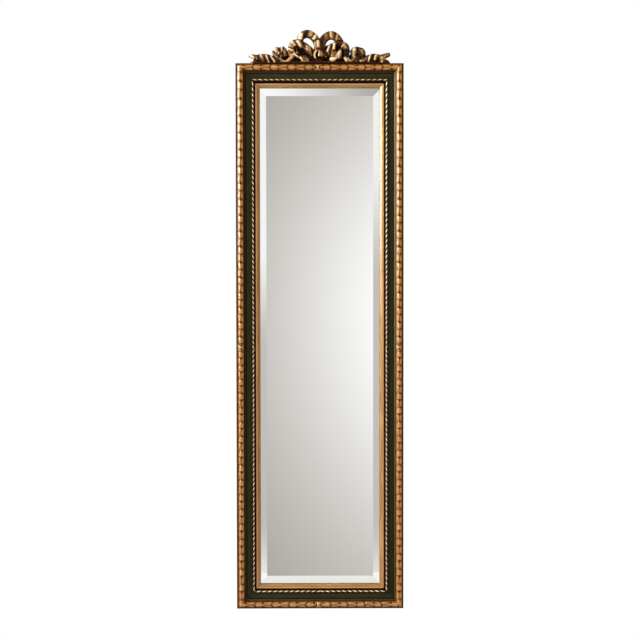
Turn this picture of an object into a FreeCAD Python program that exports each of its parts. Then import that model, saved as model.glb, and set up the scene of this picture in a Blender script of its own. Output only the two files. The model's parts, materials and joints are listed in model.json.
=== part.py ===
import FreeCAD, Part
import math
import os
from types import SimpleNamespace

import Sketcher
from FreeCAD import Rotation, Vector

# Full-length mirror in a mitred wooden frame with a carved ribbon bow on its top rail.
#
# Row frame: the wall is the plane y = 0 and the mirror faces -Y. +Z is up. The origin lies on the wall,
# midway between the pivots of the two hanging rings.
#
# Frame coordinates of a rail's section: x is measured from the frame's outer edge towards the glass,
# and y from the frame's flat back towards the room.

SIZES = {
    # Whole frame
    "frame_width": 400,
    "frame_height": 1305,
    "hang_drop": 255,
    "wall_gap": 9,
    # Section of a rail, from its outer edge to its lip
    "slope_width": 4.3,
    "slope_rise": 6,
    "leaf_band_width": 13.6,
    "cove_width": 7.4,
    "cove_step": 2,
    "cove_rise": 7,
    "frieze_width": 11.7,
    "frieze_fall": 2,
    "rope_band_width": 6.5,
    "groove_width": 3.1,
    "groove_drop": 3.5,
    "lip_width": 4.1,
    "lip_thickness": 3.5,
    # Strips laid on the rails
    "leaf_side": 1,
    "leaf_rise": 6,
    "rope_side": 1.2,
    "rope_rise": 4.5,
    # Slip between rail and glass
    "slip_sight_width": 9.8,
    "slip_flange_thickness": 4,
    "slip_stand": 2.5,
    "slip_flat_width": 2,
    "slip_edge_thickness": 2,
    "slip_side_gap": 0.3,
    "slip_flange_gap": 0.5,
    # Glass and what holds it
    "glass_thickness": 5,
    "bevel_width": 25,
    "bevel_depth": 2.5,
    "side_packing": 4.5,
    "end_packing": 8.4,
    "packing_gap": 0.3,
    "backboard_thickness": 3,
    "backboard_gap": 1.5,
    "block_length": 60,
    "block_inset": 45,
    "packer_length": 30,
    "packer_inset": 150,
    # V-nails
    "nail_leg": 10,
    "nail_height": 8,
    "nail_thickness": 0.8,
    "nail_outer_inset": 12,
    "nail_inner_inset": 30,
    "nail_gap": 0.1,
    # Screws
    "screw_radius": 1.75,
    "screw_head_radius": 3.5,
    "screw_head_rise": 2,
    "screw_length": 14,
    "screw_gap": 0.1,
    # Turn buttons
    "button_length": 30,
    "button_width": 11,
    "button_thickness": 1.6,
    "button_screw_inset": 8,
    "button_end_inset": 130,
    # Hangers
    "strap_width": 13,
    "strap_length": 48,
    "strap_thickness": 1.5,
    "strap_inset": 21,
    "strap_first_hole": 30,
    "strap_hole_spacing": 11,
    "ring_wire_radius": 2,
    "ring_half_width": 11,
    "ring_leg": 10,
    "ring_corner_radius": 4,
    "ring_gap": 0.3,
    # Bumpers
    "bumper_radius": 9,
    "bumper_face_radius": 7,
    "bumper_inset": 21,
    "bumper_rise": 30,
    # Ribbon bow
    "crest_half_width": 169,
    "crest_rise": 80,
    "crest_depth": 28,
    "crest_inset": 3,
    "crest_rounding": 7,
    # Dowels of the bow
    "dowel_radius": 4,
    "dowel_length": 24,
    "dowel_inset": 11,
    "dowel_half_spacing": 36,
    "dowel_gap": 0.1,
    # How far a cut reaches past what it cuts
    "cut_overrun": 10,
}

# Ribbon bow, seen from the room. Places across are shares of the bow's half width, and heights and radii
# are shares of its rise above the top rail. The last share is the loop's reach into the room, of its depth.
LOOP_SHARES = {
    "upper_left": ((-0.149, 0.665, 0.335), (-0.155, 0.565, 0.148), 0.80),
    "upper_right": ((0.162, 0.635, 0.332), (0.157, 0.588, 0.150), 0.72),
    "middle_left": ((-0.302, 0.380, 0.296), (-0.272, 0.338, 0.138), 0.88),
    "middle_right": ((0.284, 0.365, 0.276), (0.345, 0.285, 0.094), 0.88),
    "swag_left": ((-0.467, 0.201, 0.186), (-0.467, 0.230, 0.090), 0.64),
    "swag_right": ((0.424, 0.201, 0.181), (0.424, 0.235, 0.090), 0.64),
    "small_left": ((-0.559, 0.291, 0.214), (-0.538, 0.200, 0.075), 0.76),
    "small_right": ((0.533, 0.291, 0.216), (0.533, 0.212, 0.065), 0.76),
}
KNOT_SHARES = (-0.011, 0.214, 0.160)
KNOT_REACH_SHARE = 0.54
WEB_SHARES = (
    (-0.42, 0), (-0.43, 0.40), (-0.29, 0.66), (-0.222, 0.648), (-0.095, 0.38), (0.0, 0.30),
    (0.08, 0.47), (0.185, 0.588), (0.228, 0.618), (0.36, 0.50), (0.39, 0.30), (0.39, 0),
)
WEB_REACH_SHARE = 0.32
PLINTH_SHARES = (
    (-0.97, 0), (-0.92, 0.05), (-0.42, 0.10), (-0.26, 0.19),
    (0.26, 0.19), (0.42, 0.10), (0.92, 0.05), (1.0, 0),
)
PLINTH_REACH_SHARE = 0.62
TAIL_LEFT_SHARES = (
    (-0.62, 0.02), (-0.976, 0.02), (-0.957, 0.11), (-1.0, 0.23), (-0.98, 0.255),
    (-0.91, 0.26), (-0.826, 0.296), (-0.756, 0.26), (-0.672, 0.19), (-0.62, 0.12),
)
TAIL_RIGHT_SHARES = (
    (0.60, 0.02), (0.60, 0.12), (0.649, 0.20), (0.705, 0.276), (0.804, 0.291), (0.86, 0.26), (0.93, 0.30),
    (0.979, 0.306), (0.99, 0.26), (0.934, 0.128), (1.0, 0.02),
)
TAIL_REACH_SHARE = 0.58

# How a rail is turned about the Y axis: degrees from the top rail, which runs along X.
SIDE_TURNS = {"top": 0, "right": 90, "bottom": 180, "left": 270}


class Size:
    """A length together with the formula over the sheet that gives it."""

    def __init__(self, value, text):
        self.value = float(value)
        self.text = text

    def __add__(self, other):
        other = as_size(other)
        return Size(self.value + other.value, f"({self.text} + {other.text})")

    def __sub__(self, other):
        other = as_size(other)
        return Size(self.value - other.value, f"({self.text} - {other.text})")

    def __mul__(self, other):
        other = as_size(other)
        return Size(self.value * other.value, f"({self.text} * {other.text})")

    def __truediv__(self, other):
        other = as_size(other)
        return Size(self.value / other.value, f"({self.text} / {other.text})")

    def __neg__(self):
        return Size(-self.value, f"(0 - {self.text})")


def as_size(value):
    """Lets a plain share or count stand in a formula beside a named length."""
    return value if isinstance(value, Size) else Size(value, f"({value})")


ZERO = Size(0, "0")


def make_sheet(document):
    """Writes every driving dimension into the sheet and returns them as named sizes."""
    sheet = document.addObject("Spreadsheet::Sheet", "sizes")
    for row, (name, value) in enumerate(SIZES.items(), start=1):
        sheet.set(f"A{row}", name)
        sheet.set(f"B{row}", str(value))
        sheet.setAlias(f"B{row}", name)
    document.recompute()
    return SimpleNamespace(**{name: Size(value, f"sizes.{name}") for name, value in SIZES.items()})


doc = FreeCAD.newDocument("full_length_mirror")
s = make_sheet(doc)

# Depths of a rail's levels, from the frame's back towards the room
glass_back = s.backboard_thickness
glass_front = glass_back + s.glass_thickness
lip_back = glass_front + s.slip_flange_thickness
groove_floor = lip_back + s.lip_thickness
rope_seat = groove_floor + s.groove_drop
cove_foot = rope_seat + s.frieze_fall
leaf_seat = cove_foot + s.cove_rise
outer_face = leaf_seat - s.slope_rise

# Distances of a rail's edges from the frame's outer edge
leaf_start = s.slope_width
leaf_end = leaf_start + s.leaf_band_width
frieze_start = leaf_end + s.cove_width
rope_start = frieze_start + s.frieze_width
rope_end = rope_start + s.rope_band_width
lip_edge = rope_end + s.groove_width
rebate_wall = lip_edge - s.lip_width
sight_edge = lip_edge + s.slip_sight_width

# Heights and depths of the whole frame in the row frame
top_z = s.hang_drop
bottom_z = s.hang_drop - s.frame_height
middle_z = s.hang_drop - s.frame_height / 2
back_y = -s.wall_gap
ring_pivot_off = s.strap_thickness + s.ring_wire_radius + s.ring_gap
strap_x = s.frame_width / 2 - s.strap_inset


def bind(thing, prop, size):
    """Ties a property to the sheet."""
    thing.setExpression(prop, size.text)


def place(thing, rotation, x, y, z):
    """Turns a piece and ties its place to the sheet."""
    thing.Placement.Rotation = rotation
    bind(thing, "Placement.Base.x", x)
    bind(thing, "Placement.Base.y", y)
    bind(thing, "Placement.Base.z", z)


def new_body(label):
    """Starts a body with a name a person would use."""
    body = doc.addObject("PartDesign::Body", label)
    body.Label = label
    return body


def origin_plane(body, role):
    """One of a body's own origin planes or axes, by its role."""
    return next(feature for feature in body.Origin.OriginFeatures if feature.Role == role)


def new_sketch(body, role, name):
    """A sketch on one of the body's own planes."""
    sketch = body.newObject("Sketcher::SketchObject", f"{body.Label}_{name}")
    sketch.AttachmentSupport = (origin_plane(body, role), "")
    sketch.MapMode = "FlatFace"
    return sketch


def fix_point(sketch, edge, end, x, y):
    """Dimensions one end of an edge from the sketch's origin."""
    for kind, axis, size in (("DistanceX", -2, x), ("DistanceY", -1, y)):
        if size.text == ZERO.text:
            sketch.addConstraint(Sketcher.Constraint("PointOnObject", edge, end, axis))
        else:
            index = sketch.addConstraint(Sketcher.Constraint(kind, -1, 1, edge, end, size.value))
            sketch.setExpression(f"Constraints[{index}]", size.text)


def add_arc(sketch, start, end, radius, side):
    """Adds an arc of under half a circle that bulges left of the way (side 1) or right of it (side -1)."""
    half = (end - start) / 2
    to_centre = math.sqrt(max(radius.value**2 - half.Length**2, 0))
    left = Vector(-half.y, half.x, 0).normalize()
    centre = start + half - left * side * to_centre
    first, last = (end, start) if side > 0 else (start, end)
    from_angle = math.atan2(first.y - centre.y, first.x - centre.x)
    to_angle = math.atan2(last.y - centre.y, last.x - centre.x)
    if to_angle <= from_angle:
        to_angle += 2 * math.pi
    circle = Part.Circle(centre, Vector(0, 0, 1), radius.value)
    edge = sketch.addGeometry(Part.ArcOfCircle(circle, from_angle, to_angle), False)
    return edge, ((2, 1) if side > 0 else (1, 2))


def draw_outline(sketch, points):
    """Draws a closed outline. A point is (x, y), or (x, y, radius, side) where an arc leads to it."""
    corners = [(as_size(point[0]), as_size(point[1])) for point in points]
    edges = []
    for index, point in enumerate(points):
        start = Vector(corners[index - 1][0].value, corners[index - 1][1].value, 0)
        end = Vector(corners[index][0].value, corners[index][1].value, 0)
        if len(point) == 2:
            edge = sketch.addGeometry(Part.LineSegment(start, end), False)
            edges.append((edge, 1, 2))
        else:
            edge, (first, last) = add_arc(sketch, start, end, point[2], point[3])
            edges.append((edge, first, last))
    for index, (edge, first, last) in enumerate(edges):
        before, _, before_last = edges[index - 1]
        sketch.addConstraint(Sketcher.Constraint("Coincident", before, before_last, edge, first))
    for (edge, first, last), (x, y), point in zip(edges, corners, points):
        fix_point(sketch, edge, last, x, y)
        if len(point) > 2:
            index = sketch.addConstraint(Sketcher.Constraint("Radius", edge, point[2].value))
            sketch.setExpression(f"Constraints[{index}]", point[2].text)


def draw_circle(sketch, x, y, radius):
    """Draws a circle with its centre and radius tied to the sheet."""
    x = as_size(x)
    y = as_size(y)
    circle = Part.Circle(Vector(x.value, y.value, 0), Vector(0, 0, 1), radius.value)
    edge = sketch.addGeometry(circle, False)
    fix_point(sketch, edge, 3, x, y)
    index = sketch.addConstraint(Sketcher.Constraint("Radius", edge, radius.value))
    sketch.setExpression(f"Constraints[{index}]", radius.text)


def add_pad(body, sketch, length, symmetric=False):
    """Pads a sketch, to one side of its plane or evenly to both."""
    feature = body.newObject("PartDesign::Pad", f"{sketch.Name}_pad")
    feature.Profile = sketch
    bind(feature, "Length", length)
    if symmetric:
        feature.SideType = "Symmetric"
    return feature


def add_pocket(body, sketch, depth, reverse=False):
    """Cuts a sketch to a depth, or through everything on both sides where no depth is given."""
    feature = body.newObject("PartDesign::Pocket", f"{sketch.Name}_cut")
    feature.Profile = sketch
    if depth is None:
        feature.SideType = "Symmetric"
        feature.Type = "ThroughAll"
    else:
        bind(feature, "Length", depth)
        feature.Reversed = reverse
    return feature


def add_mirrored(body, originals, role):
    """Repeats features on the other side of one of the body's planes."""
    feature = body.newObject("PartDesign::Mirrored", f"{body.Label}_{originals[0].Name}_mirrored")
    feature.Originals = originals
    feature.MirrorPlane = (origin_plane(body, role), [""])
    body.Tip = feature
    return feature


def crown_radius(run, rise):
    """Radius of the arc that falls this far from its crown over this run."""
    return (run * run + rise * rise) / (rise * 2)


def group(label, pieces):
    """Gathers identical loose pieces under one name."""
    compound = doc.addObject("Part::Compound", label)
    compound.Label = label
    compound.Links = pieces
    return compound


def side_length(side):
    """Outer length of the frame along one side."""
    return s.frame_width if side in ("top", "bottom") else s.frame_height


def side_place(side):
    """Where the middle of a side's outer edge lies, across and up."""
    return {
        "top": (ZERO, top_z),
        "bottom": (ZERO, bottom_z),
        "left": (-s.frame_width / 2, middle_z),
        "right": (s.frame_width / 2, middle_z),
    }[side]


def mitred_strip(label, side, section):
    """A length of moulding with its section in frame coordinates, mitred at both ends and set in its side.

    The body's x runs from the outer edge to the glass, its y to the room and its z along the side.
    """
    body = new_body(label)
    profile = new_sketch(body, "XY_Plane", "section")
    draw_outline(profile, section)
    length = side_length(side)
    add_pad(body, profile, length, symmetric=True)
    mitre = new_sketch(body, "XZ_Plane", "mitre")
    reach = sight_edge + s.cut_overrun
    draw_outline(mitre, (
        (-s.cut_overrun, length / 2 + s.cut_overrun),
        (reach, length / 2 - reach),
        (reach, length / 2 + s.cut_overrun),
    ))
    cut = add_pocket(body, mitre, None)
    add_mirrored(body, [cut], "XY_Plane")
    x, z = side_place(side)
    # The top side's x points down and its y to the room; the other sides are turned about the Y axis.
    upright = Rotation(Vector(0, 0, -1), Vector(0, -1, 0), Vector(-1, 0, 0), "XYZ")
    turn = Rotation(Vector(0, 1, 0), SIDE_TURNS[side])
    place(body, turn.multiply(upright), x, back_y, z)
    return body


def rail_section():
    """Section of a rail: flat back, sloped outer edge, seats for both strips, cove, groove and rebate."""
    return (
        (ZERO, ZERO),
        (ZERO, outer_face),
        (leaf_start, leaf_seat),
        (leaf_end, leaf_seat),
        (leaf_end, leaf_seat - s.cove_step),
        (frieze_start, cove_foot, s.cove_width, -1),
        (rope_start, rope_seat),
        (rope_end, rope_seat),
        (rope_end, groove_floor),
        (lip_edge, groove_floor),
        (lip_edge, lip_back),
        (rebate_wall, lip_back),
        (rebate_wall, ZERO),
    )


def leaf_section():
    """Half-round strip on the outer ridge, before its leaves are carved."""
    radius = crown_radius(s.leaf_band_width / 2, s.leaf_rise - s.leaf_side)
    return (
        (leaf_start, leaf_seat),
        (leaf_start, leaf_seat + s.leaf_side),
        (leaf_end, leaf_seat + s.leaf_side, radius, 1),
        (leaf_end, leaf_seat),
    )


def rope_section():
    """Half-round strip beside the groove, before its rope is carved."""
    radius = crown_radius(s.rope_band_width / 2, s.rope_rise - s.rope_side)
    return (
        (rope_start, rope_seat),
        (rope_start, rope_seat + s.rope_side),
        (rope_end, rope_seat + s.rope_side, radius, 1),
        (rope_end, rope_seat),
    )


def slip_section():
    """Slip: a flange on the glass behind the rail's lip, and a rounded face that falls to the glass."""
    flange_edge = rebate_wall + s.slip_flange_gap
    face_start = lip_edge + s.slip_side_gap
    face_top = lip_back + s.slip_stand
    edge_top = glass_front + s.slip_edge_thickness
    shoulder = face_start + s.slip_flat_width
    return (
        (flange_edge, glass_front),
        (flange_edge, lip_back),
        (face_start, lip_back),
        (face_start, face_top),
        (shoulder, face_top),
        (sight_edge, edge_top, crown_radius(sight_edge - shoulder, face_top - edge_top), 1),
        (sight_edge, glass_front),
    )


def cut_nail_slots(body, side):
    """Slots for half of each V-nail, in the back of both ends of a rail."""
    length = side_length(side)
    half = s.nail_thickness / 2 + s.nail_gap
    sketch = new_sketch(body, "XZ_Plane", "nail_slots")
    for inset in (s.nail_outer_inset, s.nail_inner_inset):
        near = length / 2 - inset + half
        far = length / 2 - inset - s.nail_leg - s.nail_gap
        draw_outline(sketch, (
            (inset - half, far), (inset - half, near), (inset + half, near), (inset + half, far),
        ))
    cut = add_pocket(body, sketch, s.nail_height + s.nail_gap)
    add_mirrored(body, [cut], "XY_Plane")


def button_heights():
    """Heights of the turn buttons above the frame's middle."""
    end = s.frame_height / 2 - s.button_end_inset
    return {"top": end, "middle": ZERO, "bottom": -end}


def strap_hole_heights():
    """Heights of the hanger screws in the row frame."""
    first = -s.strap_first_hole
    return (first, first - s.strap_hole_spacing)


button_x = rebate_wall - s.button_screw_inset


def cut_screw_holes(body, side):
    """Pilot holes for turn buttons and hanger in the back of an upright rail."""
    sign = 1 if side == "right" else -1
    sketch = new_sketch(body, "XZ_Plane", "screw_holes")
    radius = s.screw_radius + s.screw_gap
    for height in button_heights().values():
        draw_circle(sketch, button_x, height if height is ZERO else height * sign, radius)
    for height in strap_hole_heights():
        draw_circle(sketch, s.strap_inset, (height - middle_z) * sign, radius)
    add_pocket(body, sketch, s.screw_length + s.screw_gap)


def cut_dowel_holes(body):
    """Holes for the bow's dowels in the outer edge of the top rail."""
    sketch = new_sketch(body, "YZ_Plane", "dowel_holes")
    for sign in (-1, 1):
        draw_circle(sketch, s.dowel_inset, s.dowel_half_spacing * sign, s.dowel_radius + s.dowel_gap)
    add_pocket(body, sketch, s.dowel_length / 2 + s.dowel_gap, reverse=True)


def make_frame():
    """Four rails, each with its leaf strip, rope strip and slip."""
    made = []
    for side in SIDE_TURNS:
        rail = mitred_strip(f"rail_{side}", side, rail_section())
        cut_nail_slots(rail, side)
        if side in ("left", "right"):
            cut_screw_holes(rail, side)
        if side == "top":
            cut_dowel_holes(rail)
        made.append(rail)
        made.append(mitred_strip(f"leaf_strip_{side}", side, leaf_section()))
        made.append(mitred_strip(f"rope_strip_{side}", side, rope_section()))
        made.append(mitred_strip(f"slip_{side}", side, slip_section()))
    return made


def add_box(label, x, y, z, length, width, height):
    """A box by its lowest corner and its sides along X, Y and Z."""
    box = doc.addObject("Part::Box", label)
    box.Label = label
    bind(box, "Length", length)
    bind(box, "Width", width)
    bind(box, "Height", height)
    place(box, Rotation(), x, y, z)
    return box


glass_width = s.frame_width - (rebate_wall + s.side_packing) * 2
glass_height = s.frame_height - (rebate_wall + s.end_packing) * 2
glass_bottom = bottom_z + rebate_wall + s.end_packing


def make_glass():
    """Bevelled mirror: a plate with a low frustum in front of it."""
    left = -glass_width / 2
    plate_thickness = s.glass_thickness - s.bevel_depth
    plate = add_box("glass_plate", left, back_y - glass_back - plate_thickness, glass_bottom,
                    glass_width, plate_thickness, glass_height)
    bevel = doc.addObject("Part::Wedge", "glass_bevel")
    for prop, size in (
        ("Xmin", ZERO), ("Xmax", glass_width), ("Zmin", ZERO), ("Zmax", glass_height),
        ("X2min", s.bevel_width), ("X2max", glass_width - s.bevel_width),
        ("Z2min", s.bevel_width), ("Z2max", glass_height - s.bevel_width),
        ("Ymin", ZERO), ("Ymax", s.bevel_depth),
    ):
        bind(bevel, prop, size)
    # The frustum narrows along its own y, so it is turned over to narrow towards the room.
    place(bevel, Rotation(Vector(0, 0, 1), 180), glass_width / 2, back_y - glass_back - plate_thickness,
          glass_bottom)
    glass = doc.addObject("Part::MultiFuse", "mirror_glass")
    glass.Label = "mirror_glass"
    glass.Shapes = [plate, bevel]
    glass.Refine = True
    return glass


def make_backboard():
    """Board that fills the rebate behind the glass."""
    inset = rebate_wall + s.backboard_gap
    return add_box("backboard", inset - s.frame_width / 2, back_y - s.backboard_thickness, bottom_z + inset,
                   s.frame_width - inset * 2, s.backboard_thickness, s.frame_height - inset * 2)


def make_packing():
    """Blocks under the glass and packers beside it."""
    y = back_y - glass_front
    blocks = []
    for sign in (-1, 1):
        middle = (glass_width / 2 - s.block_inset - s.block_length / 2) * sign
        blocks.append(add_box(f"setting_block_{len(blocks) + 1}", middle - s.block_length / 2, y,
                              bottom_z + rebate_wall, s.block_length, s.glass_thickness, s.end_packing))
    packers = []
    width = s.side_packing - s.packing_gap
    reach = glass_height / 2 - s.packer_inset
    for left in (rebate_wall - s.frame_width / 2, glass_width / 2 + s.packing_gap):
        for share in (-1, 0, 1):
            packers.append(add_box(f"side_packer_{len(packers) + 1}", left, y,
                                   middle_z + reach * share - s.packer_length / 2,
                                   width, s.glass_thickness, s.packer_length))
    return [group("setting_blocks", blocks), group("side_packers", packers)]


def make_v_nails():
    """Two V-nails in the back of each mitre, their legs along the two rails."""
    nails = []
    half = s.nail_thickness / 2
    for side, turn in SIDE_TURNS.items():
        for inset in (s.nail_outer_inset, s.nail_inner_inset):
            body = new_body(f"v_nail_{len(nails) + 1}")
            sketch = new_sketch(body, "XY_Plane", "plan")
            draw_outline(sketch, (
                (-half, -half), (s.nail_leg, -half), (s.nail_leg, half),
                (half, half), (half, s.nail_leg), (-half, s.nail_leg),
            ))
            add_pad(body, sketch, s.nail_height)
            across = s.frame_width / 2 - inset
            up = s.frame_height / 2 - inset
            # The sketch lies in the frame's back and grows towards the room.
            upright = Rotation(Vector(0, 0, -1), Vector(1, 0, 0), Vector(0, -1, 0), "XYZ")
            x_sign = -1 if side in ("top", "left") else 1
            z_sign = 1 if side in ("top", "right") else -1
            place(body, Rotation(Vector(0, 1, 0), turn).multiply(upright),
                  across * x_sign, back_y, middle_z + up * z_sign)
            nails.append(body)
    return group("corner_v_nails", nails)


def make_screw(label, x, y, z):
    """A pan-head screw driven towards the room, its head's underside at y."""
    body = new_body(label)
    sketch = new_sketch(body, "XZ_Plane", "half_section")
    draw_outline(sketch, (
        (ZERO, -s.screw_length), (s.screw_radius, -s.screw_length), (s.screw_radius, ZERO),
        (s.screw_head_radius, ZERO), (s.screw_head_radius, s.screw_head_rise / 2),
        (s.screw_head_radius / 2, s.screw_head_rise, s.screw_head_radius, -1), (ZERO, s.screw_head_rise),
    ))
    turned = body.newObject("PartDesign::Revolution", f"{label}_turned")
    turned.Profile = sketch
    turned.ReferenceAxis = (origin_plane(body, "Z_Axis"), [""])
    # The screw's own z points at the wall.
    place(body, Rotation(Vector(1, 0, 0), -90), x, y, z)
    return body


def make_button(label, x, z, turn):
    """A flat turn button with round ends, pointing over the backboard at rest."""
    body = new_body(label)
    sketch = new_sketch(body, "XY_Plane", "plan")
    half = s.button_width / 2
    tail = s.button_screw_inset - half
    reach = s.button_length - s.button_screw_inset - half
    draw_outline(sketch, (
        (reach, -half), (reach + half, ZERO, half, -1), (reach, half, half, -1),
        (-tail, half), (-tail - half, ZERO, half, -1), (-tail, -half, half, -1),
    ))
    add_pad(body, sketch, s.button_thickness)
    hole = new_sketch(body, "XY_Plane", "hole")
    draw_circle(hole, ZERO, ZERO, s.screw_radius + s.screw_gap)
    add_pocket(body, hole, s.button_thickness, reverse=True)
    # The plan's z points at the wall, its x over the backboard.
    flat = Rotation(Vector(1, 0, 0), Vector(0, 0, -1), Vector(0, 1, 0), "XYZ")
    place(body, Rotation(Vector(0, 1, 0), turn).multiply(flat), x, back_y, z)
    return body


def make_buttons():
    """Six turn buttons and the screws they turn on."""
    buttons = []
    screws = []
    for side, sign, turn in (("left", -1, 0), ("right", 1, 180)):
        x = (s.frame_width / 2 - button_x) * sign
        for height_name, height in button_heights().items():
            z = middle_z + height
            buttons.append(make_button(f"turn_button_{side}_{height_name}", x, z, turn))
            screws.append(make_screw(f"button_screw_{len(screws) + 1}", x, back_y + s.button_thickness, z))
    return buttons + [group("turn_button_screws", screws)]


def make_strap(label, x):
    """Hanger strap: a flat strip whose upper end is folded round the ring's bar."""
    body = new_body(label)
    sketch = new_sketch(body, "YZ_Plane", "section")
    centre = ring_pivot_off
    outer = ring_pivot_off
    inner = ring_pivot_off - s.strap_thickness
    draw_outline(sketch, (
        (ZERO, -s.strap_length),
        (ZERO, ZERO),
        (centre, outer, outer, 1),
        (centre + outer, ZERO, outer, 1),
        (centre, -outer, outer, 1),
        (centre, -inner),
        (centre + inner, ZERO, inner, -1),
        (centre, inner, inner, -1),
        (s.strap_thickness, ZERO, inner, -1),
        (s.strap_thickness, -s.strap_length),
    ))
    add_pad(body, sketch, s.strap_width, symmetric=True)
    holes = new_sketch(body, "XZ_Plane", "holes")
    for height in strap_hole_heights():
        draw_circle(holes, ZERO, height, s.screw_radius + s.screw_gap)
    add_pocket(body, holes, s.strap_thickness)
    place(body, Rotation(), x, back_y, ZERO)
    return body


def make_ring(label, x):
    """D-ring of round wire: a straight bar in the fold, two legs and a half circle, hanging down."""
    body = new_body(label)
    path = new_sketch(body, "XZ_Plane", "path")
    wide = s.ring_half_width
    corner = s.ring_corner_radius
    draw_outline(path, (
        (wide - corner, ZERO),
        (wide, -corner, corner, 1),
        (wide, -s.ring_leg),
        (ZERO, -s.ring_leg - wide, wide, 1),
        (-wide, -s.ring_leg, wide, 1),
        (-wide, -corner),
        (-(wide - corner), ZERO, corner, 1),
    ))
    section = new_sketch(body, "YZ_Plane", "wire")
    draw_circle(section, ZERO, ZERO, s.ring_wire_radius)
    pipe = body.newObject("PartDesign::AdditivePipe", f"{label}_pipe")
    pipe.Profile = section
    pipe.Spine = (path, [f"Edge{index + 1}" for index in range(path.GeometryCount)])
    place(body, Rotation(), x, back_y + ring_pivot_off, ZERO)
    return body


def make_hangers():
    """Two straps with their rings and screws."""
    made = []
    screws = []
    for side, sign in (("left", -1), ("right", 1)):
        x = strap_x * sign
        made.append(make_strap(f"hanger_strap_{side}", x))
        made.append(make_ring(f"hanging_ring_{side}", x))
        for height in strap_hole_heights():
            label = f"hanger_screw_{len(screws) + 1}"
            screws.append(make_screw(label, x, back_y + s.strap_thickness, height))
    return made + [group("hanger_screws", screws)]


def make_bumpers():
    """Two rubber bumpers that keep the bottom of the frame off the wall."""
    made = []
    for side, sign in (("left", -1), ("right", 1)):
        bumper = doc.addObject("Part::Cone", f"wall_bumper_{side}")
        bumper.Label = f"wall_bumper_{side}"
        bind(bumper, "Radius1", s.bumper_radius)
        bind(bumper, "Radius2", s.bumper_face_radius)
        bind(bumper, "Height", s.wall_gap)
        place(bumper, Rotation(Vector(1, 0, 0), -90), (s.frame_width / 2 - s.bumper_inset) * sign, back_y,
              bottom_z + s.bumper_rise)
        made.append(bumper)
    return made


def crest_slab(name, shares, reach_share):
    """A slab of the bow with an outline in shares of its half width and rise."""
    body = new_body(name)
    sketch = new_sketch(body, "XY_Plane", "outline")
    draw_outline(sketch, [(s.crest_half_width * across, s.crest_rise * up) for across, up in shares])
    add_pad(body, sketch, s.crest_depth * reach_share)
    set_in_crest(body)
    return body


def set_in_crest(body):
    """Stands a bow piece on the top rail, its z towards the room."""
    facing = Rotation(Vector(1, 0, 0), 90)
    place(body, facing, ZERO, back_y - s.crest_inset, top_z)


def crest_loop(name, outer, hollow, reach_share):
    """A loop of ribbon: a round slab with a soft front edge and a round hollow."""
    body = new_body(name)
    across, up, radius = outer
    sketch = new_sketch(body, "XY_Plane", "outline")
    draw_circle(sketch, s.crest_half_width * across, s.crest_rise * up, s.crest_rise * radius)
    reach = s.crest_depth * reach_share
    slab = add_pad(body, sketch, reach)
    doc.recompute()
    front = slab.Shape.BoundBox.ZMax
    edges = [f"Edge{index}" for index, edge in enumerate(slab.Shape.Edges, start=1)
             if edge.BoundBox.ZMin > front / 2]
    fillet = body.newObject("PartDesign::Fillet", f"{name}_rounding")
    fillet.Base = (slab, edges)
    bind(fillet, "Radius", s.crest_rounding)
    across, up, radius = hollow
    hollow_sketch = new_sketch(body, "XY_Plane", "hollow")
    draw_circle(hollow_sketch, s.crest_half_width * across, s.crest_rise * up, s.crest_rise * radius)
    add_pocket(body, hollow_sketch, reach, reverse=True)
    set_in_crest(body)
    return body


def make_crest():
    """Ribbon bow: plinth, web, loops, tails and knot fused into one carving, bored for its dowels."""
    pieces = [
        crest_slab("crest_plinth", PLINTH_SHARES, PLINTH_REACH_SHARE),
        crest_slab("crest_web", WEB_SHARES, WEB_REACH_SHARE),
        crest_slab("crest_tail_left", TAIL_LEFT_SHARES, TAIL_REACH_SHARE),
        crest_slab("crest_tail_right", TAIL_RIGHT_SHARES, TAIL_REACH_SHARE),
    ]
    for name, (outer, hollow, reach_share) in LOOP_SHARES.items():
        pieces.append(crest_loop(f"crest_loop_{name}", outer, hollow, reach_share))
    knot = doc.addObject("Part::Sphere", "crest_knot")
    across, up, radius = KNOT_SHARES
    bind(knot, "Radius", s.crest_rise * radius)
    place(knot, Rotation(), s.crest_half_width * across,
          back_y - s.crest_inset - s.crest_depth * KNOT_REACH_SHARE, top_z + s.crest_rise * up)
    pieces.append(knot)
    whole = doc.addObject("Part::MultiFuse", "crest_whole")
    whole.Shapes = pieces
    bores = []
    dowels = []
    for sign in (-1, 1):
        x = s.dowel_half_spacing * sign
        y = back_y - s.dowel_inset
        bores.append(add_rod(f"dowel_bore_{len(bores) + 1}", x, y, top_z - s.cut_overrun,
                             s.dowel_radius + s.dowel_gap, s.dowel_length / 2 + s.dowel_gap + s.cut_overrun))
        dowels.append(add_rod(f"dowel_{len(dowels) + 1}", x, y, top_z - s.dowel_length / 2,
                              s.dowel_radius, s.dowel_length))
    bore_pair = doc.addObject("Part::MultiFuse", "dowel_bores")
    bore_pair.Shapes = bores
    carving = doc.addObject("Part::Cut", "crest_carving")
    carving.Label = "crest_carving"
    carving.Base = whole
    carving.Tool = bore_pair
    return [carving, group("crest_dowels", dowels)]


def add_rod(label, x, y, z, radius, height):
    """An upright cylinder on the given foot."""
    rod = doc.addObject("Part::Cylinder", label)
    bind(rod, "Radius", radius)
    bind(rod, "Height", height)
    place(rod, Rotation(), x, y, z)
    return rod


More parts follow.
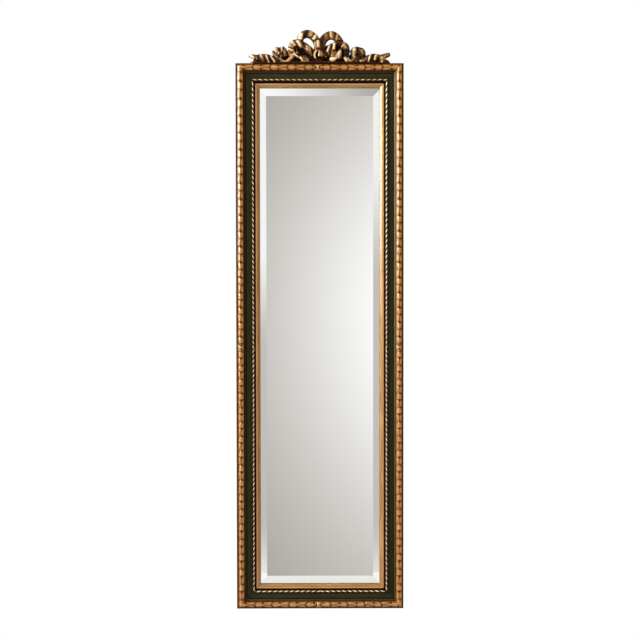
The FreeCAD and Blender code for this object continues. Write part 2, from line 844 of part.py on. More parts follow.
def check(nodes):
    """Stops on a failed feature, a cut that removes nothing, or a bad solid."""
    for thing in doc.Objects:
        if any(word in thing.State for word in ("Invalid", "Error")):
            raise RuntimeError(f"{thing.Name} failed: {thing.State}")
        if thing.TypeId == "PartDesign::Pocket" and thing.Shape.Volume >= thing.BaseFeature.Shape.Volume:
            raise RuntimeError(f"{thing.Name} cuts nothing")
    for node in nodes:
        if node.Shape.isNull() or not node.Shape.isValid() or not node.Shape.Solids:
            raise RuntimeError(f"{node.Label} has no valid solid")


nodes = make_frame()
nodes.append(make_glass())
nodes.append(make_backboard())
nodes.extend(make_packing())
nodes.append(make_v_nails())
nodes.extend(make_buttons())
nodes.extend(make_hangers())
nodes.extend(make_bumpers())
nodes.extend(make_crest())
doc.recompute()
check(nodes)

os.makedirs("parts", exist_ok=True)
for node in nodes:
    node.Shape.exportStep(f"parts/{node.Label}.step")
    box = node.Shape.BoundBox
    print(f"{node.Label}: {len(node.Shape.Solids)} solids, {node.Shape.Volume:.0f} mm3, "
          f"x {box.XMin:.1f}..{box.XMax:.1f} y {box.YMin:.1f}..{box.YMax:.1f} "
          f"z {box.ZMin:.1f}..{box.ZMax:.1f}")
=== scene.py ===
# %% [markdown]
# A tall wall mirror, dressed as a lesson
# The mirror is a picture framer's work: four mitred wooden rails painted dark green, strips of carved and
# gilded ornament laid on them, a bevelled glass and a ribbon bow on top. The construction comes packed as
# a fixed frame, and this file only gives it its looks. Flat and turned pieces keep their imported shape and
# get a finish. The leaf strips, the rope strips and the bow are carved, so they are modelled here and
# stand in for the plain solids. Everything is in metres, with the wall at y = 0 and the front towards -Y.

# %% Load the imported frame
import json
import math

import bpy
import numpy as np
from mathutils import Matrix, Vector
from mathutils.kdtree import KDTree

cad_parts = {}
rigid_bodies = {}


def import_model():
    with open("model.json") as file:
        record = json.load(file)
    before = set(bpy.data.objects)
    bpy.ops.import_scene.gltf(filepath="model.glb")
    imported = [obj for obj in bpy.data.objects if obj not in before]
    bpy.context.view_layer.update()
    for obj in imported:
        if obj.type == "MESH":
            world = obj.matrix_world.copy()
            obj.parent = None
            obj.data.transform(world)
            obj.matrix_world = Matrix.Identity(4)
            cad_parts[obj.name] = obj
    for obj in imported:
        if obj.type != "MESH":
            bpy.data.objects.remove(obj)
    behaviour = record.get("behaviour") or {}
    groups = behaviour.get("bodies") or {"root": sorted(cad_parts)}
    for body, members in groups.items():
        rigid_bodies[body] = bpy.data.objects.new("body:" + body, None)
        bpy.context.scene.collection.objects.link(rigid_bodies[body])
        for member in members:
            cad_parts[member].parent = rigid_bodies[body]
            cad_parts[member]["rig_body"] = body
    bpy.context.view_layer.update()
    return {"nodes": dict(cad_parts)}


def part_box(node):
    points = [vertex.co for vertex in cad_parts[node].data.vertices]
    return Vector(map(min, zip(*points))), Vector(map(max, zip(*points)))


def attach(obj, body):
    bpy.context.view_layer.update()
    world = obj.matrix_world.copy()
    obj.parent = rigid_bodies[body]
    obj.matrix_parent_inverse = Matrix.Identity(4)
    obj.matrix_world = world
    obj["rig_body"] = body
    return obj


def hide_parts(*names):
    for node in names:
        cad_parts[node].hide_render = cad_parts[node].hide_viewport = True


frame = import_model()

# %% Read the sizes that the carving follows
mm = 0.001
rail_low, rail_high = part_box("rail_left")
outer_left = rail_low.x
outer_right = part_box("rail_right")[1].x
outer_top = rail_high.z
outer_bottom = rail_low.z
outer_width = outer_right - outer_left
outer_height = outer_top - outer_bottom
back_of_rails = rail_high.y
print("frame outside:", round(outer_width / mm), "x", round(outer_height / mm), "mm")

# %% [markdown]
# The camera
# The photograph looks at the mirror square on, from a little to the left and a little above its middle,
# with almost no perspective. A lens of 75 mm at 3.2 m gives that. The numbers come from matching the four
# outer corners of the frame, and the small turn keeps the frame upright in the picture.

# %% Set up the camera
camera_place = Vector((-0.018, -3.2, -0.26))
camera_turn = math.radians(-0.33)
camera_dip = math.radians(1.73)
camera_roll = math.radians(-0.07)
camera = bpy.data.objects.new("camera", bpy.data.cameras.new("camera"))
camera.data.sensor_width = 36
camera.data.lens = 74.6
turned = Matrix.Rotation(camera_turn, 4, "Z") @ Matrix.Rotation(math.pi / 2 - camera_dip, 4, "X")
camera.matrix_world = Matrix.Translation(camera_place) @ turned @ Matrix.Rotation(camera_roll, 4, "Z")
bpy.context.scene.collection.objects.link(camera)
bpy.context.scene.camera = camera
bpy.context.scene.view_settings.view_transform = "Standard"
print("camera at", tuple(round(v, 3) for v in camera_place), "lens", camera.data.lens)

# %% [markdown]
# Writing shaders as sums
# A finish is a network of nodes, and a network is hard to read as a list of links. The class below wraps
# one socket, so that `1 - mask` or `ridge * 0.5` adds the Math node that does the sum, and the same signs
# on colours and vectors add Vector Math, because a Math node would turn a colour grey. Every other node
# comes from `Finish.node`, which sets the node's own settings first and its sockets second.

# %% A socket that can be used in sums
class Wire:
    """One output socket of a finish."""

    def __init__(self, finish, socket):
        self.finish = finish
        self.socket = socket
        self.wide = socket.type in {"VECTOR", "RGBA"}

    def sum(self, operation, *pair):
        wide = any(isinstance(value, tuple) or isinstance(value, Wire) and value.wide for value in pair)
        if wide:
            pair = [value if isinstance(value, (Wire, tuple)) else (value,) * 3 for value in pair]
        kind = "VectorMath" if wide else "Math"
        return self.finish.node(kind, {"operation": operation}, dict(enumerate(pair)))

    def __add__(self, other):
        return self.sum("ADD", self, other)

    def __radd__(self, other):
        return self.sum("ADD", other, self)

    def __sub__(self, other):
        return self.sum("SUBTRACT", self, other)

    def __rsub__(self, other):
        return self.sum("SUBTRACT", other, self)

    def __mul__(self, other):
        return self.sum("MULTIPLY", self, other)

    def __rmul__(self, other):
        return self.sum("MULTIPLY", other, self)

    def __truediv__(self, other):
        return self.sum("DIVIDE", self, other)

    def __pow__(self, other):
        return self.sum("POWER", self, other)

    def least(self, other):
        return self.sum("MINIMUM", self, other)

    def most(self, other):
        return self.sum("MAXIMUM", self, other)

    def rise(self, start, end):
        """0 below start, 1 above end, and a smooth step between them."""
        setting = {"interpolation_type": "SMOOTHSTEP"}
        return self.finish.node("MapRange", setting, {"Value": self, "From Min": start, "From Max": end})


print("a socket can be used in sums")


# %% A finish and its nodes
class Finish:
    """One material, or the world, with its node tree."""

    def __init__(self, owner):
        owner.use_nodes = True
        self.owner = owner
        self.tree = owner.node_tree
        self.tree.nodes.clear()

    def node(self, kind, settings=None, sockets=None, output=None):
        """Adds a node. settings are its own, stops are a ramp's, and output is the one to go on from."""
        made = self.tree.nodes.new("ShaderNode" + kind)
        for name, value in (settings or {}).items():
            if name == "stops":
                fill_ramp(made.color_ramp, value)
            else:
                setattr(made, name, value)
        for name, value in (sockets or {}).items():
            socket = self.find(made.inputs, name)
            if isinstance(value, Wire):
                self.tree.links.new(value.socket, socket)
            else:
                socket.default_value = value
        if not made.outputs:
            return made
        shown = [socket for socket in made.outputs if socket.enabled]
        return Wire(self, made.outputs[output] if output is not None else shown[0])

    def find(self, sockets, name):
        if isinstance(name, int):
            return sockets[name]
        return next(socket for socket in sockets if socket.name == name and socket.enabled)

    def place(self):
        """The point in metres in the frame's own axes, and its three parts."""
        point = self.node("TexCoord", output="Object")
        split = self.node("SeparateXYZ", sockets={0: point}, output="X")
        parts = [Wire(self, split.socket.node.outputs[axis]) for axis in "XYZ"]
        return point, parts

    def noise(self, point, scale, detail=3, rough=0.55, stretch=(1, 1, 1)):
        """Soft noise from 0 to 1. scale is in patches to the metre."""
        sockets = {"Vector": point * stretch, "Scale": scale, "Detail": detail, "Roughness": rough}
        return self.node("TexNoise", sockets=sockets)

    def mix(self, share, first, second):
        """first where share is 0, second where it is 1, as colours."""
        sockets = {"Factor": share, "A": first, "B": second}
        return self.node("Mix", {"data_type": "RGBA"}, sockets)

    def bump(self, height, depth, strength):
        return self.node("Bump", sockets={"Height": height, "Distance": depth, "Strength": strength})

    def surface(self, **sockets):
        """The Principled shader. Its sockets are given in small letters, with a low line for each space."""
        named = {}
        for name, value in sockets.items():
            named[name.replace("_", " ").title().replace("Ior", "IOR")] = value
        self.finish_with(self.node("BsdfPrincipled", sockets=named))

    def finish_with(self, shader):
        ending = "OutputWorld" if isinstance(self.owner, bpy.types.World) else "OutputMaterial"
        self.node(ending, sockets={"Surface": shader})


def fill_ramp(ramp, stops):
    """Puts (place, colour) stops on a colour ramp, lowest first."""
    while len(ramp.elements) < len(stops):
        ramp.elements.new(1)
    for element, (where, colour) in zip(ramp.elements, stops):
        element.position = where
        element.color = colour


def new_finish(name):
    return Finish(bpy.data.materials.new(name))


def tone(red, green, blue):
    """A colour as painters' charts give it, 0 to 255, as the linear colour that a shader wants."""
    parts = [value / 255 for value in (red, green, blue)]
    linear = [v / 12.92 if v <= 0.04045 else ((v + 0.055) / 1.055) ** 2.4 for v in parts]
    return (*linear, 1)


print("shader helpers ready")

# %% [markdown]
# Gilding
# Picture frame gilding is thin metal leaf over a red-brown clay called bole. The maker rubs the leaf back
# so that the clay shows a little on the high edges, then floods the carving with a dark wash and wipes it
# off again, so the wash stays in the hollows. The carved meshes below carry a value called hollow, 0 on
# the high places and 1 deep in a cut, and one recipe turns it into leaf, worn leaf and wash. The leaf is a
# colour that darkens along a ramp, under a clear coat that gives the glints and fades in the hollows,
# because dried wash is dull.

# %% The gilding recipe
# Besides the wash, the hollow value carries painted light and shade on the leaf strips, the rope and the
# bow.
wash_brown = tone(20, 7, 1)
bole_red = tone(112, 58, 26)
gold_tones = [
    (0.0, tone(222, 168, 92)), (0.3, tone(182, 119, 49)), (0.55, tone(130, 76, 26)),
    (0.78, tone(72, 34, 8)), (1.0, wash_brown),
]
cream_tones = [
    (0.0, tone(255, 236, 196)), (0.25, tone(232, 186, 124)), (0.5, tone(158, 108, 54)),
    (0.75, tone(70, 38, 14)), (1.0, tone(12, 4, 1)),
]


def gild(name, tones, dulled):
    """Leaf over clay, darkened in the hollows. dulled is how much of the shine a hollow loses."""
    finish = new_finish(name)
    point, _ = finish.place()
    hollow = finish.node("Attribute", {"attribute_name": "hollow"}, output="Fac")
    patches = finish.noise(point, 38, detail=4)
    specks = finish.noise(point, 420, detail=3, rough=0.6)
    wash = hollow + (specks - 0.5) * 0.2 + (patches - 0.5) * 0.2
    washed = finish.node("ValToRGB", {"stops": tones}, {"Fac": wash})
    rubbed = (patches + (specks - 0.5) * 0.6 - hollow * 0.4).rise(0.64, 0.87)
    rough = 0.42 + specks * 0.12 + hollow * 0.25
    ripple = finish.bump(specks * 0.6 + patches * 0.4, 0.25 * mm, 0.35)
    bright = (1 - hollow * dulled).most(0)
    finish.surface(
        base_color=finish.mix(rubbed * 0.4, washed, bole_red), metallic=bright * 0.08, roughness=rough,
        normal=ripple, specular_ior_level=0.1, coat_weight=bright, coat_roughness=0.25, coat_ior=1.5,
    )
    return finish.owner


gilt_leaf = gild("gilt_leaf_carved", gold_tones, 1.0)
gilt_rope = gild("gilt_rope_carved", cream_tones, 1.2)
gilt_crest = gild("gilt_crest_carved", cream_tones, 1.2)
print("carved finishes:", gilt_leaf.name, gilt_rope.name, gilt_crest.name)

# %% [markdown]
# The plain slip
# The slip next to the glass is gilded too, but it is a smooth moulding with no carving, so it keeps its
# imported shape and has no hollow value. Its wash lies along the two edges, where a cloth can't reach, and
# the leaf shows long soft streaks from the burnishing. A bump gives it a shallow S-curve, an ogee, and its
# outer arris is painted brighter, rubbed leaf and a painted highlight. How far a point lies in from the
# frame's outside tells where it is on the slip.

# %% Distance in from the outside of the frame
def inset_of(parts):
    """Metres from the nearest outer edge of the frame, the same number on all four rails."""
    across = (parts[0] - outer_left).least(outer_right - parts[0])
    upright = (parts[2] - outer_bottom).least(outer_top - parts[2])
    return across.least(upright)


groove_width = 3.1 * mm
rope_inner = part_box("rope_strip_left")[1].x - outer_left
slip_seen_from = rope_inner + groove_width
slip_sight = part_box("slip_left")[1].x - outer_left
slip_width = slip_sight - slip_seen_from
print("slip seen from", round(slip_seen_from / mm, 1), "to", round(slip_sight / mm, 1), "mm in")


# %% Finish for the slip
def gild_slip(name, stretch):
    finish = new_finish(name)
    point, parts = finish.place()
    inset = inset_of(parts)
    streaks = finish.noise(point, 160, detail=4, stretch=stretch)
    patches = finish.noise(point, 30, detail=4)
    specks = finish.noise(point, 500, detail=2)
    waver = (streaks - 0.5) * mm
    outer_wash = 1 - (inset + waver * 0.5).rise(slip_seen_from - 0.9 * mm, slip_seen_from - 0.2 * mm)
    inner_wash = (inset + waver * 0.8).rise(slip_sight - 0.9 * mm, slip_sight + 0.2 * mm)
    flecks = (patches + specks * 0.3).rise(0.86, 1.05)
    wash = outer_wash.most(inner_wash * 0.25).most(flecks * 0.5)
    across = (inset - slip_seen_from) / slip_width
    # Painted highlight: a pale line along the outer arris, as well as rubbed leaf.
    arris_highlight = across.rise(-0.08, 0.02) * (1 - across.rise(0.2, 0.36))
    gold = finish.mix(streaks.rise(0.35, 0.7), tone(166, 111, 48), tone(190, 137, 74))
    gold = finish.mix(arris_highlight * 0.7, gold, tone(250, 198, 128))
    worn = finish.mix((patches + (streaks - 0.5) * 0.5).rise(0.62, 0.85) * 0.3, gold, bole_red)
    rough = 0.4 + streaks * 0.12 + wash * 0.25
    ogee = across.rise(-0.1, 0.16) * 0.9 - across.rise(0.12, 0.85) * 0.95 + across.rise(0.8, 1.0) * 0.3
    relief = finish.bump(ogee + streaks * 0.08, 1.6 * mm, 0.75)
    finish.surface(
        base_color=finish.mix(wash, worn, wash_brown), metallic=(1 - wash) * 0.15, roughness=rough,
        normal=relief, specular_ior_level=0.1, coat_weight=1 - wash, coat_roughness=0.2, coat_ior=1.5,
    )
    return finish.owner


along_upright = (1, 1, 0.08)
along_level = (0.08, 1, 1)
slip_upright = gild_slip("gilt_slip_upright", along_upright)
slip_level = gild_slip("gilt_slip_level", along_level)
print("slip finishes:", slip_upright.name, slip_level.name)

# %% [markdown]
# The painted rails
# Each rail is one moulding painted in bands: red-brown on the outer slope and under the gilding, nearly
# black in the cove with a rubbed line of bronze beside the leaves, dark olive green on the flat frieze and
# brown again in the groove by the slip. A brush draws such bands along the rail, so the edges waver by a
# fraction of a millimetre and fine strokes run along it. The back is bare wood with a thin brown stain. On
# the right rail the frieze and the groove are painted darker, a painted shade, as the photograph shows.

# %% Where the painted bands lie
leaf_low, leaf_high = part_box("leaf_strip_left")
leaf_outer = leaf_low.x - outer_left
leaf_inner = leaf_high.x - outer_left
cove_width = 7.4 * mm
cove_inner = leaf_inner + cove_width
rope_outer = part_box("rope_strip_left")[0].x - outer_left
edge_brown = tone(74, 41, 12)
cove_brown = tone(25, 10, 3)
cove_bronze = tone(80, 62, 40)
frieze_green = tone(53, 51, 30)
groove_brown = tone(38, 14, 4)
bands = [(0, edge_brown), (leaf_inner, cove_brown), (cove_inner, frieze_green), (rope_outer, groove_brown)]
paint_span = 60 * mm
print("bands start at", [round(where / mm, 1) for where, _ in bands], "mm in")


# %% Finish for the rails
def paint_rail(name, stretch, right_painted_shade):
    """right_painted_shade darkens the right half's frieze and groove as painted shade; 1 leaves them alone.
    """
    finish = new_finish(name)
    point, parts = finish.place()
    strokes = finish.noise(point, 220, detail=5, rough=0.65, stretch=stretch)
    clouds = finish.noise(point, 22, detail=3)
    fine = finish.noise(point, 900, detail=2)
    inset = inset_of(parts) + (strokes - 0.5) * 0.9 * mm
    stops = [(where / paint_span, paint) for where, paint in bands]
    paint = finish.node("ValToRGB", {"stops": stops}, {"Fac": inset / paint_span})
    paint.socket.node.color_ramp.interpolation = "CONSTANT"
    lighter = finish.mix(clouds.rise(0.3, 0.7) * 0.5, paint, paint * (1.5, 1.5, 1.25))
    stroked = finish.mix(strokes.rise(0.3, 0.75) * 0.45, lighter, paint * (0.5, 0.5, 0.5))
    # Painted shade: the frieze and the groove right of the middle are painted darker by right_painted_shade.
    painted_shade_on_right = parts[0].rise(-0.5 * mm, 0.5 * mm) * inset.rise(cove_inner - 0.2 * mm, cove_inner + 0.2 * mm)
    painted = finish.mix(painted_shade_on_right, stroked, stroked * (right_painted_shade, right_painted_shade, right_painted_shade))
    bare = finish.mix(strokes.rise(0.2, 0.8), tone(104, 74, 46), tone(74, 50, 30))
    at_back = parts[1].rise(back_of_rails - 1.2 * mm, back_of_rails - 0.4 * mm)
    in_cove = inset.rise(leaf_inner - 0.3 * mm, leaf_inner + 0.3 * mm)
    out_of_cove = inset.rise(leaf_inner + 3 * mm, cove_inner - 1 * mm)
    bronzed = in_cove * (1 - out_of_cove) * 0.8 * (1 - at_back)
    at_edge = 1 - inset.rise(leaf_outer, leaf_inner)
    finish.surface(
        base_color=finish.mix(bronzed, finish.mix(at_back, painted, bare), cove_bronze), metallic=bronzed,
        roughness=0.5 + strokes * 0.18 + at_back * 0.2 - bronzed * 0.2 + at_edge * 0.4,
        normal=finish.bump(strokes * 0.7 + fine * 0.3, 0.2 * mm, 0.5), specular_ior_level=0.05,
    )
    return finish.owner


rail_upright = paint_rail("rail_paint_upright", along_upright, 0.6)
rail_level = paint_rail("rail_paint_level", along_level, 1.0)
print("rail finishes:", rail_upright.name, rail_level.name)

# %% [markdown]
# The mirror
# A mirror is silver behind glass. Seen from the front the two act as one bright surface, and the bevel,
# ground into the front at about six degrees, throws the eye to another part of the room. So the packed
# glass, bevel and all, takes a metal finish that is almost perfectly smooth, very slightly warm and a
# little less than white. Its back and its rim are the grey of the protective paint.

# %% Finish for the glass
glass_low, glass_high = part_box("mirror_glass")
glass_width = glass_high.x - glass_low.x
glass_height = glass_high.z - glass_low.z


def silver(name):
    finish = new_finish(name)
    point, parts = finish.place()
    behind = parts[1].rise(glass_high.y - 0.6 * mm, glass_high.y - 0.3 * mm)
    speckle = finish.noise(point, 300, detail=3)
    paint = finish.mix(speckle, tone(112, 116, 118), tone(134, 138, 140))
    colour = finish.mix(behind, (0.93, 0.925, 0.9, 1), paint)
    dust = finish.noise(point, 9, detail=2).rise(0.3, 0.8)
    finish.surface(base_color=colour, metallic=1 - behind, roughness=0.012 + dust * 0.01 + behind * 0.5)
    return finish.owner


mirror_silver = silver("mirror_silver")
print("glass", round(glass_width / mm), "x", round(glass_height / mm), "mm")

# %% [markdown]
# The workaday finishes
# What holds the mirror together is not meant to be seen, and each piece has the plain look of its trade:
# hardboard with its fibres, zinc on the steel fittings with the faint spangle of plating, darker steel
# nails, black rubber, grey card and pale dowel wood. One recipe for metals and one for dull things cover
# them, and the scale of the mottling tells them apart.

# %% Finishes for the fittings
def plated(name, light, dark, scale, polish):
    finish = new_finish(name)
    point, _ = finish.place()
    spangle = finish.noise(point, scale, detail=4)
    scratches = finish.noise(point, 1500, detail=2, stretch=(1, 1, 0.1))
    colour = finish.mix(spangle.rise(0.3, 0.7), dark, light)
    dulled = finish.bump(spangle * 0.5 + scratches * 0.5, 0.05 * mm, 0.3)
    finish.surface(base_color=colour, metallic=1.0, roughness=polish + spangle * 0.2, normal=dulled)
    return finish.owner


def dull(name, light, dark, scale, stretch=(1, 1, 1), rough=0.75):
    finish = new_finish(name)
    point, _ = finish.place()
    fibres = finish.noise(point, scale, detail=5, rough=0.7, stretch=stretch)
    clouds = finish.noise(point, scale / 30, detail=2)
    colour = finish.mix((fibres + (clouds - 0.5) * 0.5).rise(0.3, 0.7), dark, light)
    relief = finish.bump(fibres, 0.2 * mm, 0.5)
    finish.surface(base_color=colour, roughness=rough + (fibres - 0.5) * 0.15, normal=relief)
    return finish.owner


screw_steel = plated("screw_steel", tone(214, 206, 180), tone(176, 166, 138), 900, 0.22)
fittings = {
    "backboard": dull("hardboard", tone(150, 112, 74), tone(118, 84, 54), 700, (1, 1, 0.35)),
    "setting_blocks": dull("block_rubber", tone(46, 46, 46), tone(26, 26, 26), 900),
    "side_packers": dull("packer_card", tone(150, 142, 128), tone(122, 114, 100), 1200),
    "wall_bumper": dull("bumper_rubber", tone(52, 50, 48), tone(32, 31, 30), 800, rough=0.65),
    "crest_dowels": dull("dowel_wood", tone(206, 172, 122), tone(174, 138, 90), 500, (1, 1, 0.1)),
    "corner_v_nails": plated("nail_steel", tone(120, 120, 122), tone(84, 84, 88), 700, 0.35),
    "turn_button_screws": screw_steel,
    "hanger_screws": screw_steel,
    "turn_button": plated("button_zinc", tone(206, 208, 210), tone(168, 172, 176), 350, 0.28),
    "hanger_strap": plated("hanger_steel", tone(210, 210, 206), tone(170, 170, 168), 300, 0.25),
    "hanging_ring": plated("ring_steel", tone(214, 214, 210), tone(182, 182, 178), 500, 0.18),
}
print("fitting finishes:", len(fittings))

# %% [markdown]
# Laying a strip around the frame
# The leaf and rope strips are thin half-round mouldings, and one grid serves both. One number runs along
# the rail, one across it from -1 at the outer edge to 1 at the inner edge, and the carving pushes each
# point in towards the middle of the half circle. The ends follow the mitre because each line of points
# starts as far along as it lies in. A flat back and two ends close the strip, so that it is a solid piece.

# %% Start, direction, inward direction and length of each side
body_of_frame = frame["nodes"]["rail_left"]["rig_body"]
top_left = Vector((outer_left, 0, outer_top))
top_right = Vector((outer_right, 0, outer_top))
bottom_left = Vector((outer_left, 0, outer_bottom))
rightward = Vector((1, 0, 0))
upward = Vector((0, 0, 1))
side_lines = {
    "top": (top_left, rightward, -upward, outer_width),
    "bottom": (bottom_left, rightward, upward, outer_width),
    "left": (top_left, -upward, rightward, outer_height),
    "right": (top_right, -upward, -rightward, outer_height),
}
print("sides:", list(side_lines))


# %% Make a mesh from rows of points
def grid_faces(rows, ring):
    """Quads of a tube of rows, each a closed ring of points, with both ends capped."""
    row, place = np.meshgrid(np.arange(rows - 1), np.arange(ring), indexing="ij")
    here, beyond = row * ring, (row + 1) * ring
    after = (place + 1) % ring
    quads = np.stack([here + place, here + after, beyond + after, beyond + place], -1)
    caps = [list(range(ring - 1, -1, -1)), list(range((rows - 1) * ring, rows * ring))]
    return quads.reshape(-1, 4).tolist() + caps


def make_object(name, points, faces):
    """A smooth-shaded mesh object."""
    mesh = bpy.data.meshes.new(name)
    mesh.from_pydata(points.tolist(), [], faces)
    mesh.validate()
    mesh.shade_smooth()
    made = bpy.data.objects.new(name, mesh)
    bpy.context.scene.collection.objects.link(made)
    return made


def set_hollow(mesh, numbers):
    """Gives each point the value that the gilding reads."""
    layer = mesh.attributes.new("hollow", "FLOAT", "POINT")
    layer.data.foreach_set("value", numbers.ravel().astype(np.float32))


print("mesh helpers ready")


# %% Build a half-round strip with a carved face
def carve_strip(kind, side, carve, material, step, columns):
    """carve(along, across, side) gives the depth of the cut in metres and the hollow value."""
    node = kind + "_strip_" + side
    low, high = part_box(node)
    start, run, inward, length = side_lines[side]
    near, far = sorted(abs(inward.dot(corner - start)) for corner in (low, high))
    half = (far - near) / 2
    middle = (far + near) / 2
    rise = high.y - low.y
    rows = math.ceil((length - 2 * middle) / step) + 1
    across = np.linspace(-1, 1, columns)
    turn = across * math.pi / 2
    inset = middle + half * np.sin(turn)
    along = inset + (length - 2 * inset) * np.linspace(0, 1, rows)[:, None]
    depth, hollow = carve(along, np.broadcast_to(across, along.shape), side)
    depth = depth * np.cos(turn * 0.8)
    inset = middle + (half - depth) * np.sin(turn)
    points = np.array(start) + along[..., None] * np.array(run) + inset[..., None] * np.array(inward)
    points[..., 1] = high.y - (rise - depth) * np.cos(turn)
    faces = grid_faces(rows, columns)
    if run.cross(inward).y > 0:
        faces = [face[::-1] for face in faces]
    made = make_object(kind + "_carving_" + side, points.reshape(-1, 3), faces)
    set_hollow(made.data, hollow)
    made.data.materials.append(material)
    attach(made, body_of_frame)
    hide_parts(node)
    print(made.name, rows, "rows of", columns)


# %% Soft steps and soft lines for the carving
def smooth(value, start, end):
    """0 below start, 1 above end, and a smooth step between them."""
    share = np.clip((value - start) / (end - start), 0, 1)
    return share * share * (3 - 2 * share)


def near_to(value, middle, width):
    """1 where a value is at the middle, falling off over a width."""
    return np.exp(-(((value - middle) / width) ** 2))


print("halfway up a soft step:", smooth(0.5, 0, 1), "in the middle of a soft line:", near_to(1, 1, 1))

# %% [markdown]
# Laurel leaves
# The outer strip is a running laurel: a single leaf on the crown, then a pair that parts to let the next
# single leaf out, with every tip pointing to the middle of its rail. Small cuts set the leaves off: a fork
# where a pair parts, a seam down the pair, a nick at each tip, an outline and a rib. Each cut is a soft
# line in two numbers, the phase along a leaf and the place across the strip. On the upright rails light
# and shade are painted in: the lamp is at the left, so the cuts are painted dark mostly in the half that
# faces right, as painted shade, and stay faint in the bright half that faces left. Both halves are painted
# a little brighter between the cuts, the half that faces right the most, a painted fill light, and where
# the wash starts at the edges differs from side to side, painted shade as well as wash. The two runs of a
# rail meet in a pair of crossed bands, and the spacing is a little wider near the corners of the upright
# rails.

# %% Where the leaves of each rail fall
middle_of = {"top": 195.7 * mm, "bottom": 195.7 * mm, "left": 675.5 * mm, "right": 675.5 * mm}
leaf_spacing = {
    "top": (32.3, 20.5, 0),
    "bottom": (31.0, 20.4, 0),
    "upper": (26.3, 17.2, 0.055),
    "lower": (27.0, 16.6, 0.029),
}


def steps_from_middle(distance, first, step, growth):
    """How many steps fit in a distance. n steps reach first + n * step + n * n * growth millimetres."""
    gone = distance / mm - first
    if not growth:
        return gone / step
    inside = np.maximum(step**2 + 4 * growth * gone, (0.2 * step) ** 2)
    return (np.sqrt(inside) - step) / (2 * growth)


def steps_on_side(distance, below, side, spacing):
    """Steps from the middle of a rail. An upright rail has one spacing above it and one below."""
    if side in spacing:
        return steps_from_middle(distance, *spacing[side])
    upper = steps_from_middle(distance, *spacing["upper"])
    lower = steps_from_middle(distance, *spacing["lower"])
    return np.where(below, lower, upper)


corner_steps = steps_from_middle(middle_of["left"], *leaf_spacing["upper"])
print("leaf and pair from the middle to the top corner:", round(corner_steps / 2, 1))

# %% The crossed bands where the two runs of leaves meet
def crossing(distance, wide):
    """Height and hollow of the bands. distance is millimetres from the middle of the rail."""
    band = near_to(distance, 0.9 + 3.4 * wide**1.8, 1.05)
    groove = near_to(distance, 4.0 + 2.8 * wide**1.8, 1.3)
    height = 0.6 + 0.4 * band - 0.4 * groove
    hollow = 0.42 - 0.5 * band + 0.55 * groove * (1 - wide)
    return height, hollow


print("height and hollow of a band on the crown:", [round(float(v), 1) for v in crossing(0.9, 0)])

# %% The cuts of one leaf and one pair
single_length = 0.6
lit_side = {"top": 0, "bottom": 0, "left": -1, "right": 1}


def single_leaf(phase):
    """Half width of the single leaf: round at its root, widest before its middle, pointed at the tip."""
    share = np.clip(phase / single_length, 0, 1)
    return 0.75 * np.sqrt(np.clip(3.2 * share, 0, 1)) * (1 - share) ** 0.65


def leaf_cuts(phase, across, lit):
    """Cuts, 0 to 1, painted darker on the shaded half. lit is the half that faces the light, 0 where both
    do.
    """
    wide = np.abs(across)
    beyond = np.where(phase > single_length, phase - 1, phase)
    single = single_leaf(phase)
    fork = 2.5 * np.sqrt(np.clip(beyond, 0, 1))
    arms = near_to(wide, fork, 0.2) * (beyond > -0.03) * (1 - smooth(beyond, 0.09, 0.16))
    apex = near_to(across, 0, 0.3) * near_to(beyond, 0, 0.055)
    seam = near_to(across, 0, 0.11) * smooth(phase, 0.55, 0.9) * (phase > 0.56)
    tip = near_to(phase, 0.53 - 0.05 * wide, 0.055) * near_to(wide, 0.62, 0.34) * 0.9
    outline = near_to(wide, single, 0.08) * (single > 0.15) * 0.5
    rib = near_to(across, 0.03, 0.09) * (phase < 0.5) * 0.22
    parting = near_to(wide, 0.4 + 2 * (phase - 0.5), 0.09) * (phase > 0.5) * (phase < 0.8) * 0.5
    # Painted light and shade: on the upright rails the cuts are painted darker on the half that faces away
    # from the lamp and fainter on the half that faces it.
    if lit:
        shaded = -across * lit
        arms = arms * (0.35 + 0.65 * near_to(shaded, 0.35, 0.5))
        apex = near_to(shaded, 0.12, 0.46) * near_to(beyond, 0.02, 0.1)
        tip = near_to(phase, 0.53 - 0.05 * wide, 0.07) * (0.3 + 0.7 * near_to(shaded, 0.3, 0.48)) * 0.9
        outline = outline * near_to(shaded, 0.4, 0.5)
        parting = parting * near_to(shaded, 0.4, 0.5)
    return np.max([arms, apex, seam * 0.8, tip, outline, rib, parting], axis=0)


widths = single_leaf(np.linspace(0, single_length, 61))
print("the single leaf is widest at", round(float(widths.max()), 2), "of half the strip")

# %% Carve the leaves
leaf_relief = 2.0 * mm
leaf_flank = 1.2 * mm
# Where the edge wash starts on each side, outer and inner; the sides differ as painted shade, earliest on
# the bottom rail's lower edge.
wash_and_shade_from = {"top": (0.72, 0.72), "bottom": (0.5, 0.86), "left": (0.52, 0.97), "right": (0.84, 0.9)}
wash_fade = 0.28


